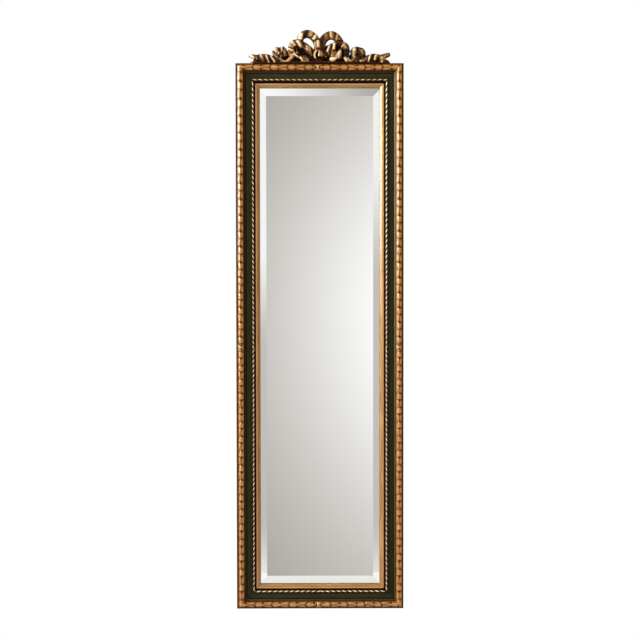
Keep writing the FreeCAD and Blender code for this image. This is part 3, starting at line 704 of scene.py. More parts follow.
def leaf_carve(along, across, side):
    gap = along - middle_of[side]
    toward = -steps_on_side(np.abs(gap), gap >= 0, side, leaf_spacing) / 2
    phase = toward - np.floor(toward)
    wide = np.abs(across)
    lit = lit_side[side]
    cut = leaf_cuts(phase, across, lit)
    single_swell = 0.75 + 0.25 * smooth(phase, 0.02, 0.2)
    pair_swell = 0.7 + 0.2 * smooth(phase, 0.5, 0.9)
    swell = np.where(wide < single_leaf(phase), single_swell, pair_swell)
    crown = smooth(swell, 0.7, 1) * near_to(wide, 0.25, 0.3)
    if lit:
        # Painted fill light: both halves are painted a little brighter, the half that faces away from the
        # lamp the most.
        lift = 0.04 * smooth(across * lit, -0.1, 0.5) + 0.14 * smooth(-across * lit, 0, 0.5)
        hollow = 0.36 + 0.7 * cut - lift - 0.3 * crown
    else:
        hollow = 0.36 + 0.75 * cut - 0.3 * crown
    outer, inner = wash_and_shade_from[side]
    washed = np.maximum(smooth(-across, outer, outer + wash_fade), smooth(across, inner, inner + wash_fade))
    hollow = np.maximum(hollow, 0.8 * washed)
    crossed, crossed_hollow = crossing(np.abs(gap) / mm, wide)
    in_middle = toward > 0.56
    height = np.where(in_middle, crossed, swell * (1 - 0.8 * cut))
    hollow = np.where(in_middle, crossed_hollow, hollow)
    flank = leaf_flank * np.sin(np.pi * across) ** 2
    return leaf_relief * (1 - np.clip(height, 0, 1)) + flank, np.clip(hollow, 0, 1)


for side in side_lines:
    carve_strip("leaf", side, leaf_carve, gilt_leaf, step=0.8 * mm, columns=25)

# %% [markdown]
# Rope
# The inner strip is a rope: strands that climb across a half round at a slant, which turns round near the
# middle of each rail, so that the four corners match. A strand is a rounded ridge with a sharp valley each
# side. The dark wash fills the valleys to nearly half the width, and the flanks are painted dark as well,
# wash and painted shade. Only a narrow line near the crown stays bright, wiped leaf and a painted
# highlight set on each side where the light catches the strands, which is why only short gold dashes show.

# %% Carve the rope
rope_turn = {"top": 201.0 * mm, "bottom": 201.0 * mm, "left": 680.5 * mm, "right": 680.5 * mm}
rope_spacing = {
    "top": (0, 13.3, 0),
    "bottom": (0, 13.2, 0),
    "upper": (0, 11.7, 0.0164),
    "lower": (0, 11.7, 0.004),
}
# Where the bright line lies across each side's rope: wiped leaf and a painted highlight.
wiped_and_lit_line = {"top": -0.28, "bottom": 0.3, "left": 0.14, "right": 0.1}
rope_relief = 1.1 * mm
rope_shift = 9.408 * mm


def rope_carve(along, across, side):
    gap = along - rope_turn[side]
    steps = steps_on_side(np.abs(gap) + rope_shift * across, gap >= 0, side, rope_spacing)
    place = np.abs(steps - np.floor(steps) - 0.5) * 2
    strand = np.sqrt(np.clip(1 - (place * 0.97) ** 2, 0, 1))
    wash_and_shade_on_flanks = smooth(np.abs(across - wiped_and_lit_line[side]), 0.14, 0.54)
    hollow = 0.04 + 0.96 * np.maximum(smooth(place, 0.3, 0.82), wash_and_shade_on_flanks)
    return rope_relief * (1 - strand), hollow


for side in side_lines:
    carve_strip("rope", side, rope_carve, gilt_rope, step=0.7 * mm, columns=15)

# %% [markdown]
# The ribbon bow
# The bow is carved from one block: loops of pleated ribbon, a rosette for the knot, small loops beside it
# and two forked tails, all on a thin base. Each stretch of ribbon is a tube along a line, flattened to the
# ribbon's width and thickness. The tubes run through each other as the carved ribbons do, so they are
# joined by a voxel remesh, which keeps only the outer skin. Distances are in millimetres: right of the
# middle, up from the frame, half of the ribbon's width, and how far it stands forward from the bow's back.

# %% The ribbons of the bow
crest_low, crest_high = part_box("crest_carving")
ribbons = {
    "upper_left": [(-46.5, 52, 7.6, 13), (-45, 61, 8.3, 13), (-37, 68.5, 9.3, 13), (-27, 70, 9.6, 13),
        (-17.5, 65.5, 9.3, 13), (-9.5, 56.5, 9.3, 14), (-6.5, 46, 7.8, 15), (-7, 35, 6.6, 16),
        (-10, 24.5, 5.7, 17)],
    "upper_right": [(4.5, 28, 7.3, 15), (5, 40, 9.3, 13), (6.5, 50.5, 9.3, 12), (11.5, 59, 9.8, 12),
        (19.5, 65, 10, 12), (28, 67, 10.2, 12), (36.5, 64, 9.8, 13), (44, 58, 8.9, 13),
        (49.5, 50.5, 7.3, 14)],
    "ruffle_right": [(44, 50, 4, 14), (49.5, 54.5, 5.2, 15), (54, 50, 4.5, 15)],
    "return_left": [(-43.5, 48, 6.2, 15), (-36.5, 42.5, 7.6, 16), (-29, 35.5, 8.8, 17), (-22, 28, 8.8, 17),
        (-16, 18.5, 5.7, 17)],
    "middle_left": [(-64.5, 11.5, 5.7, 15), (-68.5, 21, 6.9, 16), (-68, 30.5, 7.4, 17),
        (-65.5, 39, 8.8, 17), (-60, 45, 9.8, 18), (-52, 47, 9.3, 18), (-44, 44.5, 8.1, 18),
        (-38.5, 37.5, 6.2, 17)],
    "rim_left": [(-62, 24.5, 2.6, 20), (-58.5, 18.5, 3.1, 21), (-51.5, 14, 3.1, 21),
        (-43.5, 12.5, 2.8, 21)],
    "flap_left": [(-48, 13.5, 2.1, 20), (-41, 10, 5, 21), (-34, 8.5, 5.2, 21), (-26, 5, 2.8, 19)],
    "swag_left": [(-92, 14, 2.8, 17), (-89, 6.5, 3.6, 18), (-81.5, 4.5, 3.8, 18), (-73, 8, 4.5, 18),
        (-66, 14, 5, 18), (-60, 21, 3.6, 18)],
    "small_left_outer": [(-98, 4.5, 3.6, 15), (-103.5, 12.5, 4.5, 15), (-107, 21, 4.5, 15),
        (-106.5, 28.5, 5.6, 15), (-101, 33, 5.4, 16), (-95, 30, 4, 16), (-94, 23.5, 2.8, 15)],
    "small_left_inner": [(-95.5, 22, 2.8, 15), (-93, 31, 4.9, 15), (-88, 35, 5.2, 15), (-83, 30.5, 5, 15),
        (-80, 22, 4.5, 15), (-82, 14, 3.3, 14)],
    "stem_left": [(-92.5, 20, 2.6, 12), (-92, 10, 3, 12), (-92, 3, 3.6, 12)],
    "stem_right": [(90.5, 20, 2.8, 12), (90, 10, 3.2, 12), (90, 3, 3.8, 12)],
    "small_left_top": [(-105.5, 32, 3.5, 14), (-98.5, 33.5, 4.2, 15), (-91.5, 34, 4.2, 15)],
    "tail_left": [(-101.5, 9, 5.2, 13), (-111, 10, 6.8, 14), (-122, 12, 9, 14), (-133.5, 13.2, 9.6, 14),
        (-145.5, 13, 8.5, 14), (-154, 12.5, 6.6, 13)],
    "prong_left_upper": [(-149, 14, 6.2, 13), (-157.5, 16, 5.7, 13), (-164, 18, 3.8, 12),
        (-169, 19, 2.4, 11)],
    "prong_left_lower": [(-149, 9, 4.3, 13), (-156, 6.5, 4, 12), (-162, 4.5, 2.4, 11), (-165, 3, 0.9, 10)],
    "middle_right": [(32, 45.5, 5.2, 16), (42, 46.5, 5, 17), (52.5, 45, 6.8, 17), (61, 39.5, 8.4, 17),
        (65, 30.5, 6.9, 17), (64.5, 20, 5.7, 16), (60.5, 11, 4.5, 15)],
    "band_right_a": [(29, 47, 3.1, 15), (24, 37.5, 4, 17), (17.5, 27, 4, 18), (11, 18.5, 3.3, 17)],
    "band_right_b": [(35, 43.5, 2.6, 17), (34, 37.5, 3.8, 18), (29.5, 30.5, 4, 18), (22, 21, 3.6, 18),
        (14.5, 14, 2.8, 17)],
    "flap_right": [(50.5, 31.5, 1.4, 19), (48, 23.5, 4.3, 21), (41.5, 16, 6.4, 22), (32.5, 10.5, 6.2, 21),
        (24, 5.5, 3.6, 19)],
    "flap_right_fold": [(41, 27, 3.3, 18), (32.5, 21, 5.5, 19), (24, 14.5, 4, 18)],
    "swag_right": [(57, 15, 2.8, 17), (62.5, 8.5, 4.3, 18), (71.5, 5.5, 4.5, 18), (80, 9.5, 4, 18),
        (85, 16.5, 2.8, 17)],
    "small_right_inner": [(88.5, 5, 3.3, 15), (82.5, 13, 4.3, 15), (79, 22, 4.5, 15), (78.5, 29.5, 5, 15),
        (84.5, 34.5, 5, 16), (90.5, 31, 3.8, 16), (91, 24.5, 2.6, 15)],
    "small_right_outer": [(89, 23.5, 2.6, 15), (92.5, 30, 4, 15), (99, 31.5, 5, 15), (104, 27, 5, 15),
        (104, 18.5, 4.8, 15), (102, 11.5, 3.1, 14)],
    "small_right_top": [(84, 36, 3.6, 15), (90, 35, 4.6, 15), (97, 33.5, 4.2, 15), (104, 31.5, 4, 14)],
    "curl_right": [(96.5, 8.5, 2.1, 16), (102, 5, 2.8, 17), (108.5, 8.5, 3.1, 17), (113, 14.5, 2.6, 16)],
    "tail_right": [(100, 6.5, 3.8, 13), (109.5, 10.5, 6.8, 14), (119, 12.5, 8.6, 14), (131, 13.8, 9.4, 14),
        (141.5, 13, 8.3, 14), (150, 12, 6.2, 13)],
    "prong_right_upper": [(144, 14, 6.2, 13), (153.5, 17, 6, 13), (161.5, 20, 5.4, 12),
        (168.5, 22.5, 3.8, 11)],
    "prong_right_lower": [(144, 7.5, 4.7, 13), (153.5, 6, 5.2, 12), (162, 4.5, 3.6, 11), (168, 1, 0.9, 10)],
}
print("ribbons in the bow:", len(ribbons))

# %% The rosette, the ground behind the loops and the base
rosette = {
    "rosette_rim": [(7.6, 22.5, 2.6, 20), (3.4, 27.8, 3.2, 21), (-3.5, 29, 3.4, 22), (-10, 25, 3.6, 22),
        (-12.2, 17.5, 3.6, 22), (-9.2, 10.6, 3.4, 22), (-3, 7.4, 3, 21), (3.6, 8.4, 2.6, 20)],
    "rosette_core": [(-5, 18.6, 1, 19), (-1.5, 18.8, 5.4, 20), (2.5, 19, 6.4, 20), (6.8, 18.6, 4.8, 19),
        (9.6, 17.8, 1, 18)],
}
ground = {
    "ground_left": [(-66, 20, 13, 3), (-52, 26, 17, 3), (-38, 24, 17, 3), (-22, 14, 13, 3)],
    "ground_right": [(22, 14, 13, 3), (36, 22, 17, 3), (50, 26, 16, 3), (65, 20, 12.5, 3)],
    "ground_bands": [(10, 27, 5, 4), (16, 34, 8, 4), (25, 38, 8.5, 4), (36, 42, 9, 4), (48, 44, 9, 4)],
    "ground_small_left": [(-104, 20, 9, 2.5), (-96, 25, 11, 2.5), (-89, 24, 11, 2.5), (-84, 16, 8, 2.5),
        (-75, 12, 8, 2.5)],
    "ground_small_right": [(73, 11, 8, 2.5), (82, 19, 10, 2.5), (92, 24, 11, 2.5), (100, 24, 10, 2.5),
        (106, 14, 6, 2.5)],
    "ground_knot": [(-24, 9, 8, 8), (-8, 14, 13, 9), (8, 14, 13, 9), (24, 9, 8, 8)],
    "ground_low_left": [(-108, 8, 5, 4), (-96, 9, 6, 4), (-84, 8, 6, 4), (-70, 8, 6, 4)],
    "ground_low_right": [(70, 8, 6, 4), (84, 8, 6, 4), (97, 9, 6, 4), (110, 8, 5, 4)],
    "ground_foot": [(-110, 4, 4, 5), (-80, 6, 6, 6), (-40, 7, 7, 6), (0, 7, 7, 6), (40, 7, 7, 6),
        (80, 6, 6, 6), (110, 4, 4, 5)],
}
plinth = {
    "plinth": [(-158, 1.2, 2.2, 13), (-80, 1.4, 2.6, 14), (0, 1.6, 3, 15), (80, 1.4, 2.6, 14),
        (160, 1.2, 2.2, 13)],
}
print("rosette parts:", len(rosette), "ground parts:", len(ground))


# %% A smooth line through a ribbon's points
def smooth_line(rows, spacing):
    """Rows of numbers every spacing along a smooth curve through the given rows."""
    rows = np.array(rows, float)
    ends = np.vstack([2 * rows[0] - rows[1], rows, 2 * rows[-1] - rows[-2]])
    share = np.linspace(0, 1, 24, endpoint=False)[:, None]
    spans = []
    for a, b, c, d in zip(ends, ends[1:], ends[2:], ends[3:]):
        bend = 2 * a - 5 * b + 4 * c - d
        turn = 3 * b - a - 3 * c + d
        spans.append(b + 0.5 * ((c - a) * share + bend * share**2 + turn * share**3))
    fine = np.vstack(spans + [rows[-1:]])
    gone = np.concatenate([[0], np.cumsum(np.hypot(*np.diff(fine[:, :2], axis=0).T))])
    places = np.linspace(0, gone[-1], max(int(gone[-1] / spacing) + 1, 4))
    return np.stack([np.interp(places, gone, column) for column in fine.T], 1)


print("points along the upper left loop:", len(smooth_line(ribbons["upper_left"], 0.8)))

# %% Sweep one ribbon
ring_points = 30
ribbon_swell = 0.3 * mm


def squared(value):
    """Makes a circle's sine or cosine a little squarer, so that a ribbon's edge is fuller."""
    return np.sign(value) * np.abs(value) ** 0.85


def sweep(rows, thickness):
    """Points and faces of one ribbon, and how near each point is to the ribbon's edge, 0 to 1."""
    side, up, wide, stand = smooth_line(rows, 0.8).T * mm
    wide = wide + ribbon_swell
    heading = np.stack([np.gradient(side), np.gradient(up)], 1)
    heading /= np.linalg.norm(heading, axis=1)[:, None]
    turn = np.linspace(0, 2 * math.pi, ring_points, endpoint=False)
    across = squared(np.cos(turn))
    forward = squared(np.sin(turn))
    thick = np.full_like(wide, thickness) if thickness else np.clip(wide * 0.8, 2.2 * mm, 7.0 * mm)
    out = wide[:, None] * across
    ahead = stand[:, None] + thick[:, None] * forward
    x = side[:, None] - heading[:, 1:] * out
    z = up[:, None] + heading[:, :1] * out
    points = np.stack([x, crest_high.y - ahead, crest_low.z + z], -1).reshape(-1, 3)
    edge = np.where(forward > -0.2, np.abs(across), 1.0)
    return points, grid_faces(len(side), ring_points), np.tile(edge, len(side))


print("points round a ribbon:", ring_points)

# %% Join the ribbons into one carving
ground_thickness = 3 * mm
plinth_thickness = 11 * mm
# Each group has its rows, its thickness if that is fixed, and the hollow value by how near the edge it is.
groups = [
    ({**ribbons, **rosette}, None, lambda edge: 0.56 + 0.35 * edge**3),
    (ground, ground_thickness, lambda edge: np.ones_like(edge)),
    (plinth, plinth_thickness, lambda edge: 0.74 + 0.15 * edge),
]
points, faces, hollows, count = [], [], [], 0
for group, thickness, hollow_of in groups:
    for rows in group.values():
        more, quads, edge = sweep(rows, thickness)
        points.append(more)
        hollows.append(hollow_of(edge))
        faces += [[corner + count for corner in quad] for quad in quads]
        count += len(more)
margin = 0.1 * mm
inside_low = np.array(crest_low) + margin
inside_low[2] = crest_low.z
inside_high = np.array(crest_high) - margin
points = np.clip(np.vstack(points), inside_low, inside_high)
hollows = np.concatenate(hollows)
crest = make_object("crest_carved", points, faces)
print("before joining:", count, "points")


# %% Keep the outer skin and soften it
def read_vectors(items, name):
    """One vector of every item of a mesh, as rows of three numbers."""
    numbers = np.empty(len(items) * 3, np.float32)
    items.foreach_get(name, numbers)
    return numbers.reshape(-1, 3).astype(float)


def put_points(mesh, points):
    mesh.vertices.foreach_set("co", points.ravel().astype(np.float32))
    mesh.update()


def soften(values, mesh, rounds, share):
    """Moves each point's values towards the mean of its neighbours', rounds times."""
    pairs = np.empty(len(mesh.edges) * 2, np.int32)
    mesh.edges.foreach_get("vertices", pairs)
    first, second = pairs.reshape(-1, 2).T
    ends = np.concatenate([first, second])
    others = np.concatenate([second, first])
    neighbours = np.bincount(ends, minlength=len(values))[:, None]
    for _ in range(rounds):
        total = np.stack([np.bincount(ends, column[others], len(values)) for column in values.T], 1)
        values = values + share * (total / neighbours - values)
    return values


skin = crest.modifiers.new("skin", "REMESH")
skin.mode = "VOXEL"
skin.voxel_size = 0.6 * mm
joined = bpy.data.meshes.new_from_object(crest.evaluated_get(bpy.context.evaluated_depsgraph_get()))
crest.modifiers.clear()
crest.data = joined
shape = soften(read_vectors(joined.vertices, "co"), joined, rounds=3, share=0.5)
shape = np.clip(shape, inside_low, inside_high)
put_points(joined, shape)
joined.shade_smooth()
print("after joining:", len(joined.vertices), "points")

# %% Find the hollows of the bow
nearest = KDTree(len(points))
for index, point in enumerate(points):
    nearest.insert(point, index)
nearest.balance()
from_ribbons = np.array([[hollows[nearest.find(point)[1]]] for point in shape])
from_ribbons = soften(from_ribbons, joined, rounds=4, share=0.5)[:, 0]
normals = read_vectors(joined.vertex_normals, "vector")
sunk = np.sum((soften(shape, joined, rounds=30, share=0.5) - shape) * normals, 1)
crest_wash_and_shade = np.clip(from_ribbons + smooth(sunk, 0.1 * mm, 1.2 * mm) * 0.5, 0, 1)
print("hollow share before the gouge:", round(float(np.mean(crest_wash_and_shade > 0.5)), 2))

# %% [markdown]
# The folds
# A carver shapes the loops first and then cuts the folds with a gouge. Each light or dark band that the
# photograph shows on the bow is one stroke here, read off the enlarged photograph: the column and row of
# the pixel where it starts and of the one where it ends, half its width in pixels, and how dark it is
# painted, from 0 for a bright ridge to 1 for a deep cut. The bands are partly light and shade, so the
# strokes also paint highlights on lit sides and shadows on shaded ones into the colour. One scale turns
# pixels into metres.

# %% Where the gouge went
photo_scale = 2.37 * mm
middle_column = 319.6
foot_row = 62.85
fold_light_and_shade_pixels = {
    "upper left loop": [(300.5, 38.2, 301.2, 34.2, 1.9, 0), (298.7, 36.5, 300.3, 33.1, 0.9, 0.35),
        (298.5, 39.8, 302.5, 39.8, 0.6, 0.75), (303.4, 39.5, 304.3, 32.5, 0.7, 0.95),
        (305.2, 36.8, 307.5, 30.8, 1.8, 0.97), (311.2, 31.5, 310.8, 35.4, 1.9, 0.38),
        (310, 36.8, 312.2, 36.8, 0.7, 0.85), (313.9, 33, 312.3, 37.5, 0.7, 0.75),
        (316.6, 33.8, 313.8, 38.6, 1.1, 0.08), (318.8, 36, 317.2, 37.8, 0.8, 0.5),
        (319.4, 38, 313.8, 40.8, 0.8, 0.88), (318.3, 41, 318.4, 46, 1.3, 0.08),
        (317.8, 48.4, 320.4, 48.4, 0.9, 0.88), (316.3, 42, 316.4, 48, 0.5, 0.6),
        (315.1, 42.5, 315.2, 47, 0.6, 0.35), (304.5, 37.9, 309, 37.3, 0.5, 0.85)],
    "fan of the middle left loop": [(290.5, 55, 293.3, 54.2, 0.9, 0.35),
        (289.8, 51.8, 293, 52.8, 0.5, 0.78), (288.8, 49, 293.3, 50.6, 0.9, 0.12),
        (288.6, 47.4, 293, 48.4, 0.5, 0.82), (289.8, 45.3, 292.3, 46.4, 1, 0.45),
        (292.4, 41.8, 295, 45, 1.3, 0.25), (294, 40.6, 297, 45, 0.7, 0.92),
        (297.8, 41, 300.2, 45.8, 1.4, 0.06), (301, 41, 302.5, 46, 0.6, 0.65), (303, 42, 305, 47.2, 1, 0.95),
        (297.5, 46.3, 295, 47, 0.7, 0.95), (295, 47, 294.8, 50.5, 0.8, 0.95),
        (296.6, 48, 297, 52, 0.8, 0.36), (294.5, 51, 295.2, 54.5, 0.9, 0.3),
        (295.2, 54.5, 297.5, 56.4, 0.7, 0.12), (294.3, 52.4, 297.9, 51.5, 0.8, 0.22),
        (297.5, 56.4, 300.5, 57, 0.6, 0.3), (297.8, 53.8, 303, 55, 1.1, 0.75),
        (303.6, 54.6, 306.6, 55, 0.8, 0.55)],
    "return left": [(304, 42, 310.5, 47.3, 0.7, 0.7), (307, 46.8, 307.2, 50, 0.9, 0.3),
        (308.6, 45.8, 310.4, 50.3, 1.4, 0.42), (311.8, 48.3, 312, 51.5, 0.8, 0.8)],
    "flap left": [(300.6, 57.4, 302.6, 61, 0.8, 0.12), (304.5, 57.7, 304.5, 60, 1.1, 0.65),
        (306.8, 57.5, 308.3, 60.3, 0.9, 0.35), (302.8, 61, 308, 60.9, 0.6, 0.42),
        (301.5, 56.9, 307, 56.9, 0.5, 0.5)],
    "swag left": [(281.8, 58.6, 284, 61.2, 0.6, 0.35), (284, 61.2, 288.5, 60.7, 0.7, 0.3),
        (288.8, 59.6, 292.2, 56.5, 1.4, 0.38), (290.5, 61, 293.5, 58.5, 0.6, 0.65)],
    "small left": [(274.7, 49.3, 278, 53.1, 1.4, 0.02), (275, 48, 278, 48.3, 0.8, 0.35),
        (278.7, 47.6, 280, 50.8, 1.1, 0.9), (273.4, 51.2, 277.2, 55, 0.55, 0.9),
        (273.6, 53.2, 276.3, 56, 0.5, 0.35), (272.9, 56.2, 278.3, 60, 1.1, 0.88),
        (281.9, 46.8, 281.6, 50.8, 0.8, 0.2), (283.4, 46.8, 284, 50, 0.7, 0.88),
        (284.9, 48.8, 285, 52.5, 0.6, 0.5), (286.2, 49, 286.7, 54, 0.7, 0.92),
        (283, 51, 283.5, 54.5, 0.9, 0.45), (278.3, 54.8, 280, 53.8, 0.8, 0.98),
        (281.4, 53, 281.6, 55, 0.8, 0.3), (276.4, 55.6, 279.3, 58.5, 0.8, 0.32),
        (280.8, 55.5, 281, 61, 0.9, 0.6), (282.6, 57.5, 286.5, 56.5, 1.5, 1),
        (284.5, 58.6, 285.5, 58.6, 1.3, 1)],
    "tail left": [(250.8, 55.3, 253, 57.6, 1.4, 0.05), (248.6, 55.4, 252.2, 58.6, 0.5, 0.65),
        (252.8, 59, 251.6, 61.3, 0.8, 0.22), (255, 54.8, 255.6, 57.3, 0.9, 0.74),
        (254.8, 58.8, 255.6, 61.8, 0.9, 0.95), (257.8, 54.8, 259.3, 61.5, 1.6, 0.96),
        (260.6, 54.2, 262, 57.5, 0.9, 0.25), (261.4, 58.4, 262.8, 60.5, 0.9, 0.6),
        (263.2, 53.8, 265, 57.5, 0.9, 0.68), (264.3, 57, 266.5, 61.5, 1.2, 0.92),
        (266, 54.6, 268.8, 62, 0.6, 0.15), (268.2, 54.4, 271.4, 61.8, 1.2, 0.97),
        (271, 56.2, 274.8, 61.6, 0.9, 0.1), (276, 61.6, 278.3, 60.8, 0.9, 0.98)],
    "knot": [(312.4, 50, 312.8, 53.5, 1, 0.92), (316.3, 51, 314.7, 53.2, 0.75, 0.1),
        (314.7, 53.2, 314.6, 56, 0.8, 0.05), (314.6, 56, 315.6, 58, 0.7, 0.15),
        (317.2, 52, 317, 56.8, 0.7, 1), (319.3, 51.5, 318.8, 55.5, 0.8, 0.12),
        (321.3, 52.3, 321.5, 55, 1.2, 0.38), (323.2, 54, 322.8, 57.5, 0.6, 0.5),
        (319.3, 57.4, 321.2, 57.6, 0.8, 1), (316, 49.7, 319, 49.8, 0.8, 0.6),
        (315.9, 59.3, 321, 60.3, 1.1, 0.88), (320.2, 50.9, 323, 52.3, 0.5, 0.6)],
    "upper right loop": [(321.8, 38, 322.3, 49, 1.8, 0.95), (322.8, 35.8, 323.6, 38, 1, 0.85),
        (325.2, 33.5, 325.8, 36, 0.6, 0.55), (326.6, 34.5, 327.8, 38, 1, 0.6),
        (328.2, 32, 329.2, 37, 0.6, 0.9), (330.8, 31.3, 331.6, 37, 1.1, 0.25),
        (333.3, 31.8, 333.4, 36.5, 0.7, 0.6), (335.3, 31.5, 334.9, 37.5, 0.9, 0.94),
        (337.8, 33, 336.6, 39, 0.7, 0.3), (339.2, 35.5, 339, 37.5, 0.6, 0.7),
        (340.4, 37.5, 341.5, 39, 0.9, 0.6), (338.3, 40.4, 342, 40.6, 0.9, 0.94),
        (337.5, 42.3, 342, 42, 0.5, 0.7), (337.8, 43.8, 341, 46.2, 1.6, 0.95),
        (340.6, 43.4, 342.6, 44.4, 0.9, 0.95), (323.3, 34.8, 323.7, 39.5, 1.4, 0.87),
        (327.3, 34.8, 327.9, 38, 0.7, 0.6)],
    "bands right": [(326.2, 46.8, 328.2, 45.2, 0.7, 0.72), (329.3, 45.5, 327.5, 51.3, 0.9, 0.15),
        (331.6, 45, 330.8, 50.5, 0.8, 0.96), (334.2, 43.3, 334.2, 48.3, 1.3, 0.12),
        (336.8, 44.2, 336.9, 48.5, 0.6, 0.92), (328.5, 53, 327.3, 54.8, 0.6, 0.6),
        (325.8, 52.8, 329.3, 57.3, 1.6, 0.97), (330.4, 51.5, 329.8, 56, 1, 0.92)],
    "flap right": [(339.3, 51, 338.6, 57, 1.7, 0.06), (337, 54.5, 337.5, 57.5, 1.1, 0.3),
        (333, 52.5, 332.5, 56, 1.3, 0.52), (340.9, 49.6, 341.3, 56.5, 0.5, 0.3),
        (330.5, 58.8, 335.5, 58.6, 1.2, 0), (331.8, 60.5, 334.5, 60.3, 0.8, 0.1),
        (333.5, 56.4, 335, 56.7, 0.6, 0.78), (342.6, 50, 342.8, 58, 0.8, 0.98)],
    "middle right": [(344.6, 43.2, 341.2, 47.3, 0.7, 0.3), (344.8, 44.5, 345.5, 47.5, 1.2, 0.45),
        (346.8, 45.5, 348, 48.5, 0.8, 0.6), (346, 42, 349.4, 47.5, 0.7, 0.84),
        (338.5, 48.3, 341, 47.6, 0.7, 0.5), (346.3, 51, 346.3, 54.8, 2.2, 1),
        (349.3, 50.2, 349.5, 55, 1.2, 0.92)],
    "swag right": [(345.5, 57.8, 346.3, 60.4, 1.3, 0.12), (348.3, 58.5, 350.3, 60.4, 1.1, 0.35),
        (351, 61, 354.3, 59, 0.6, 0.45), (348.8, 56.8, 351.5, 59, 0.9, 0.94)],
    "small right": [(354.4, 48, 354.6, 52.8, 1.5, 0.05), (354.9, 52.8, 355.3, 57.5, 0.7, 0.35),
        (355.3, 57.5, 354, 60, 0.5, 0.5), (355.3, 50, 355.7, 53.6, 0.9, 0.05),
        (352, 50.5, 352.2, 54, 0.6, 0.88), (353.2, 53.5, 353.8, 57, 0.6, 0.38),
        (352.2, 47.8, 354.5, 46.4, 0.6, 0.62), (357.5, 47, 358.3, 51.8, 1.4, 0.93),
        (359.3, 52.2, 359.4, 52.7, 0.6, 0.25), (357, 53.6, 358.8, 53.6, 0.9, 0.98),
        (357.7, 55.8, 357.5, 61, 1.1, 0.7), (362.6, 49.3, 360.8, 52.6, 0.9, 0.42),
        (363.9, 50, 364.2, 54, 0.7, 0.72), (360.3, 53.5, 360.2, 57, 0.5, 0.4),
        (360.5, 48.2, 363, 48.2, 0.9, 0.8), (362.5, 56, 365.2, 57, 1.7, 1),
        (359.8, 59.3, 361.5, 61, 0.7, 0.25), (361.8, 60.9, 365, 59.8, 0.6, 0.5),
        (365, 59.8, 367, 57, 0.5, 0.55)],
    "tail right": [(370.6, 54.6, 368.6, 61, 0.8, 0.12), (368.2, 55.5, 367.4, 60.5, 0.6, 0.86),
        (373.8, 53, 371.4, 61, 1.5, 0.96), (376.6, 54, 374.9, 59.5, 0.8, 0.18),
        (378.6, 54.4, 379.5, 55, 0.8, 0.6), (378.3, 57.5, 378, 61, 1.3, 0.95),
        (381.9, 57.2, 382.4, 57.8, 1.2, 0.08), (381.8, 60, 382, 61.6, 1.2, 0.22),
        (384.8, 55.8, 384.6, 59.5, 1.3, 0.42), (380.5, 54.9, 384, 54.4, 0.5, 0.8),
        (386.3, 54.5, 389, 54.3, 1, 0.5), (388.3, 56, 386.4, 58.2, 0.6, 0.75),
        (385.5, 60, 389.5, 61.9, 1.2, 0.78)],
}
strokes = [stroke for group in fold_light_and_shade_pixels.values() for stroke in group]
print("strokes of the gouge:", len(strokes))


# %% Carve the folds with the gouge
def on_bow(column, row):
    """A pixel of the photograph as metres right of the bow's middle and up from its foot."""
    return np.array([column - middle_column, foot_row - row]) * photo_scale


fold_depth = 2.2 * mm
in_front = smooth(-normals[:, 1], -0.1, 0.3)
flat = np.stack([shape[:, 0], shape[:, 2] - crest_low.z], 1)
for from_column, from_row, to_column, to_row, half_width, dark in strokes:
    start = on_bow(from_column, from_row)
    run = on_bow(to_column, to_row) - start
    share = np.clip((flat - start) @ run / (run @ run), 0, 1)
    gap = np.linalg.norm(flat - start - share[:, None] * run, axis=1)
    weight = np.exp(-((gap / (half_width * photo_scale)) ** 3)) * in_front
    # Each stroke paints its darkness into the colour: wash in the cuts, and painted shadow and painted
    # highlight where the light fell.
    crest_wash_and_shade += weight * (dark - crest_wash_and_shade)
shape = shape + normals * ((0.5 - crest_wash_and_shade) * in_front * fold_depth)[:, None]
shape = soften(shape, joined, rounds=1, share=0.4)
put_points(joined, np.clip(shape, inside_low, inside_high))
set_hollow(joined, crest_wash_and_shade)
joined.materials.clear()
joined.materials.append(gilt_crest)
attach(crest, body_of_frame)
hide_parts("crest_carving")
print("hollow share of the bow:", round(float(np.mean(crest_wash_and_shade > 0.5)), 2))

# %% [markdown]
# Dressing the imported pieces
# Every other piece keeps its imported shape, and its finish goes on by name: the upright and the level rails
# differ in which way the brush went. The plain solids behind the carvings get the same gold.

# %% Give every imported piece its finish
def dress(node, material):
    frame["nodes"][node].data.materials.clear()
    frame["nodes"][node].data.materials.append(material)


for side in side_lines:
    level = side in ("top", "bottom")
    dress("rail_" + side, rail_level if level else rail_upright)
    dress("slip_" + side, slip_level if level else slip_upright)
    dress("leaf_strip_" + side, gilt_leaf)
    dress("rope_strip_" + side, gilt_rope)
dress("crest_carving", gilt_crest)
dress("mirror_glass", mirror_silver)
for node in frame["nodes"]:
    kinds = [kind for kind in fittings if node.startswith(kind)]
    if kinds:
        dress(node, fittings[max(kinds, key=len)])
print("dressed", len(frame["nodes"]), "packed pieces")

# %% [markdown]
# The studio
# Three things light the mirror. A large soft lamp at the left, as high as its upper half, lights the left
# of every moulding. A weak lamp above and in front fills the shadows, and the world adds an even light
# from all round. A dome that only reflections see stands in for the room that the glass and its bevels
# show: grey, with a soft glow behind the camera, a window at each side and pale stretches near the ceiling
# and the floor. Far to the left one tall bright window draws the bright line down the left of every
# moulding, and far to the right the room is dark and warm.

